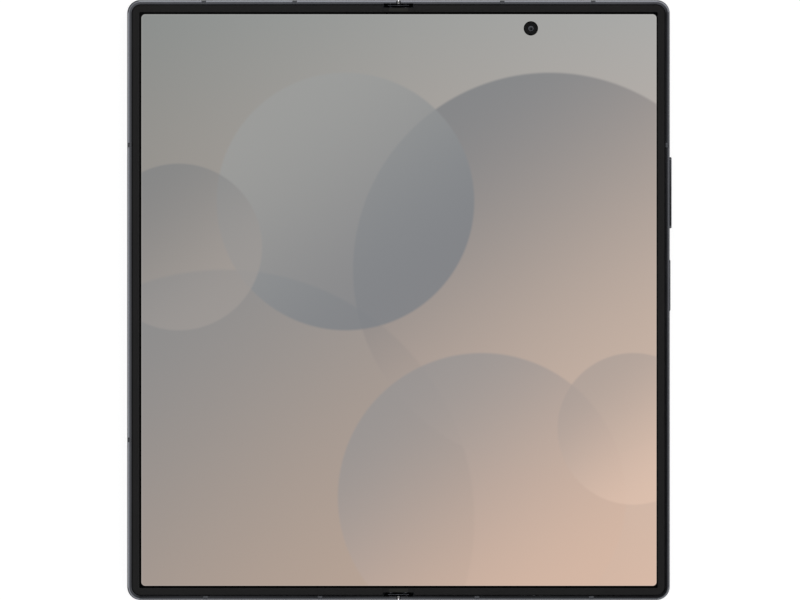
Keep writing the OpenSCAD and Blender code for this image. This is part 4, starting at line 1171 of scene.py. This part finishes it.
def makeScrews(name, group):
    x, apart, low, top, body, node = take(group, "x apart low high body node")
    shank, head, edge, socket, lobe = take(screws, "shank head edge socket lobe")
    underHead = top - screws["headThick"]
    screw = loft("screw", [
        roundRing(shank, low), roundRing(shank, underHead), roundRing(head, underHead),
        roundRing(head, top - edge), roundRing(head - edge, top), roundRing(socket, top, lobe),
        roundRing(socket - screws["socketFall"], top - screws["socketDeep"], lobe)])
    spots = [(x, y + dy, 0) for y in screws["rows"] for dy in (apart, -apart)]
    dress(grow(pointCloud(name, spots), setScrews, "hinge_steel", Screw=screw), "hinge_steel", body, node)


for name, group in screwGroups.items():
    makeScrews(name, group)
print("screws done")


# ---- charging coil: one flat wire wound as a spiral

coil = {
    "at": (40.3, -19.1), "inner": 12.75, "outer": 21.25, "turns": 5.9, "turnPoints": 72,
    "wire": 0.74, "edge": 0.06, "low": 2.72, "high": 2.93,
}


def flatSpiral(tree, given):
    wound = makeNode(tree, "GeometryNodeCurveSpiral", Resolution=coil["turnPoints"], Rotations=given["Turns"],
                     Start_Radius=given["Inner"], End_Radius=given["Outer"], Height=0.0)
    wire = sweep(tree, levelCurve(tree, wound), given["Profile"])
    return makeNode(tree, "GeometryNodeTransform", Geometry=wire, Translation=given["Centre"])


def makeCoil():
    half, edge, low, high = take(coil, "wire edge low high")
    thick = (high - low) / 2
    section = [(-half, -thick + edge), (-half + edge, -thick), (half - edge, -thick), (half, -thick + edge)]
    section += [(-x, -y) for x, y in section]
    profile = outlineMesh("section", [(x, y, 0) for x, y in section], closed=True)
    thing = grow(pointCloud("chargingCoil", []), flatSpiral, "coil_copper", Inner=coil["inner"] * mm,
                 Outer=coil["outer"] * mm, Turns=coil["turns"], Profile=profile,
                 Centre=tuple(Vector((*coil["at"], (low + high) / 2)) * mm))
    weld(thing)
    dress(thing, "coil_copper", "right_half", "charging_coil")


makeCoil()
print("coil done")


# ---- parts on the boards: small moulded chips on a loose grid, seeded, kept off what stands on the board

chips = {
    "seed": 11, "pitch": 2.3, "gap": 0.15, "share": 0.62, "height": 0.42, "sink": 0.01, "level": 4.3,
    "scales": ((0.35, 0.35, 0.7), (0.95, 0.95, 1.0)), "edge": 0.06, "round": 0.12, "roundSteps": 2,
}


def boardParts(tree, given):
    grid = makeNode(tree, "GeometryNodeMeshGrid", Size_X=given["Width"], Size_Y=given["Length"],
                    Vertices_X=given["Across"], Vertices_Y=given["Along"])
    pick = makeNode(tree, "FunctionNodeRandomValue", {"data_type": "BOOLEAN"},
                    Probability=given["Share"], Seed=given["Seed"])
    least, most = chips["scales"]
    size = makeNode(tree, "FunctionNodeRandomValue", {"data_type": "FLOAT_VECTOR"}, i0=least, i1=most,
                    Seed=given["Seed"])
    placed = makeNode(tree, "GeometryNodeInstanceOnPoints", Points=grid, Selection=pick.outputs[3],
                      Instance=shapeOf(tree, given["Chip"]), Scale=size)
    return makeNode(tree, "GeometryNodeTransform", Geometry=placed, Translation=given["Centre"])


def makeChips(name, body, acrossRange, alongRange):
    pitch, gap, height, edge, sink, level = take(chips, "pitch gap height edge sink level")
    (x0, x1), (y0, y1) = acrossRange, alongRange
    rings = []
    for z, inset in ((-height, edge), (-height + edge, 0), (sink, 0)):
        size = 2 * (pitch / 2 - gap - inset)
        rings.append(ringAt(roundedOutline(size, size, chips["round"], chips["roundSteps"]), (0, 0), z))
    thing = grow(pointCloud(name, []), boardParts, "camera_black", Chip=loft("chip", rings),
                 Width=(x1 - x0) * mm, Length=(y1 - y0) * mm, Across=int((x1 - x0) / pitch) + 1,
                 Along=int((y1 - y0) / pitch) + 1, Share=chips["share"], Seed=chips["seed"],
                 Centre=tuple(Vector(((x0 + x1) / 2, (y0 + y1) / 2, level)) * mm))
    dress(thing, "camera_black", body)


makeChips("mainBoardParts", "right_half", (40.5, 48.5), (24.0, 66.0))
makeChips("leftBoardParts", "left_half", (-64.0, -20.0), (40.0, 68.0))
print("board parts done")


# ---- batteries: foil pouches with a soft crown and a folded seam at one end

batteries = {
    "low": 3.0, "high": 4.75, "round": 1.5, "roundSteps": 6, "edge": 0.35, "edgeSteps": 4,
    "crown": 0.06, "crownRings": ((4, 0.5), (9, 0.85), (16, 1)),      # inset, share of the crown's height
    "seam": 1.6, "seamInset": 2, "seamOver": 0.3, "seamLevels": (0.5, 1.1), "seamEdge": 0.12, "smooth": 35,
}


def makeBattery(sideName, acrossRange, alongRange):
    (x0, x1), (y0, y1) = acrossRange, alongRange
    crown, inset, over = take(batteries, "crown seamInset seamOver")
    low, high, top = batteries["low"], batteries["high"] - crown, y1 - batteries["seam"]
    centre, width, length = ((x0 + x1) / 2, (y0 + top) / 2), x1 - x0, top - y0

    def ring(level, inset):
        outline = roundedOutline(width - 2 * inset, length - 2 * inset, batteries["round"] - min(inset, 1),
                                 batteries["roundSteps"])
        return ringAt(outline, centre, level)

    arc = roundedEdge(batteries["edge"], batteries["edgeSteps"])
    rings = [ring(low + rise, side) for side, rise in reversed(arc)]
    rings += [ring(high - rise, side) for side, rise in arc]
    rings += [ring(high + crown * share, side) for side, share in batteries["crownRings"]]
    seam = bendingBar("seam", x0 + inset, x1 - inset, (top - over, y1),
                      [low + rise for rise in batteries["seamLevels"]], batteries["seamEdge"], 4)
    dress(join(sideName + "Battery", [loft("pouch", rings), seam]), "battery_foil", sideName + "_half",
          sideName + "_battery", smooth=batteries["smooth"])


makeBattery("left", (-64.6, -16.0), (-52.2, 35.4))
makeBattery("right", (16.0, 64.6), (-55.2, 17.0))
print("batteries done")


# ---- studio: pale floor, soft light that leaves the zenith dark, camera above the screen

studio = {
    "floorHalf": 3.0,
    "floorColour": 0.34, "floorShade": 0.98, "grainScale": 40.0, "grainDetail": 4.0,
    "floorRough": 0.9, "floorGloss": 0.1,
    "floorGlow": 0.86,              # a light table: bright to the lens, dim in the metal's reflections
    "floorShine": 0.15,
    "cardTilt": (0.1, -0.09),       # the dark card overhead hangs a little to the lower right
    "ringLean": (0.15, 0.2),        # the bright ring is stronger at the top right
    "blueShare": 1.01,
    # how bright the sky is, from straight down (0) over the horizon (0.5) to the card's middle (1)
    "sky": [(0.0, 0.25), (0.5, 0.25), (0.7, 0.35), (0.77, 1.4), (0.82, 2.4), (0.86, 0.85), (0.9, 0.5),
            (0.955, 0.5), (0.975, 0.26), (0.988, 0.02), (1.0, 0.02)],
    "cameraHeight": 2.0,
    "cameraX": 0.40,
    "sensor": 36, "clipEnd": 20,
    "frameWidth": 211.14,           # millimetres across the picture at the height of the rim
}


def makeFloor():
    half, pale, shade, glow, shine = take(studio, "floorHalf floorColour floorShade floorGlow floorShine")
    mesh = bpy.data.meshes.new("floor")
    corners = [(x * half, y * half, 0) for x, y in ((-1, -1), (1, -1), (1, 1), (-1, 1))]
    mesh.from_pydata(corners, [], [(0, 1, 2, 3)])
    floor = meshObject("floor", mesh)
    material, tree, shader = shaderTree("paper")
    noise = makeNode(tree, "ShaderNodeTexNoise", Vector=objectPlace(tree), Scale=studio["grainScale"],
                     Detail=studio["grainDetail"])
    ray = makeNode(tree, "ShaderNodeLightPath").outputs["Is Glossy Ray"]
    setInputs(tree, shader, Base_Color=mapRange(tree, noise, toRange=(pale * shade, pale)),
              Roughness=studio["floorRough"], Specular_IOR_Level=studio["floorGloss"],
              Emission_Color=(1, 1, 1), Emission_Strength=mapRange(tree, ray, toRange=(glow, glow * shine)))
    # seen from below, the floor lets the back show
    under = makeNode(tree, "ShaderNodeNewGeometry").outputs["Backfacing"]
    empty = makeNode(tree, "ShaderNodeBsdfTransparent")
    choose = makeNode(tree, "ShaderNodeMixShader", Fac=under, i1=shader, i2=empty)
    setInputs(tree, tree.nodes["Material Output"], Surface=choose)
    floor.data.materials.append(material)


def makeWorld():
    world = bpy.data.worlds.new("studio")
    bpy.context.scene.world = world
    world.use_nodes = True
    tree = world.node_tree
    tree.nodes.clear()
    place = makeNode(tree, "ShaderNodeTexCoord").outputs["Generated"]
    card = Vector((*studio["cardTilt"], 1)).normalized()
    ramp = makeNode(tree, "ShaderNodeValToRGB", Fac=vectorMath(tree, "DOT_PRODUCT", place, card))
    elements = ramp.color_ramp.elements
    while len(elements) < len(studio["sky"]):
        elements.new(0.5)
    for element, (position, value) in zip(elements, studio["sky"]):
        element.position = position
        element.color = (value, value, value * studio["blueShare"], 1)
    lean = vectorMath(tree, "DOT_PRODUCT", place, (*studio["ringLean"], 0))
    strength = makeNode(tree, "ShaderNodeMath", {"operation": "ADD"}, i0=lean, i1=1.0)
    light = makeNode(tree, "ShaderNodeBackground", Color=ramp, Strength=strength)
    makeNode(tree, "ShaderNodeOutputWorld", Surface=light)


def makeCamera():
    data = bpy.data.cameras.new("camera")
    camera = bpy.data.objects.new("camera", data)
    bpy.context.scene.collection.objects.link(camera)
    camera.location = (studio["cameraX"] * mm, 0, phone["rimTop"] * mm + studio["cameraHeight"])
    data.sensor_width = studio["sensor"]
    data.lens = data.sensor_width * studio["cameraHeight"] / (studio["frameWidth"] * mm)
    data.clip_end = studio["clipEnd"]
    bpy.context.scene.camera = camera


makeFloor()
makeWorld()
makeCamera()
bpy.context.scene.view_settings.view_transform = "Standard"
bpy.context.scene.view_settings.look = "None"
print("studio done")
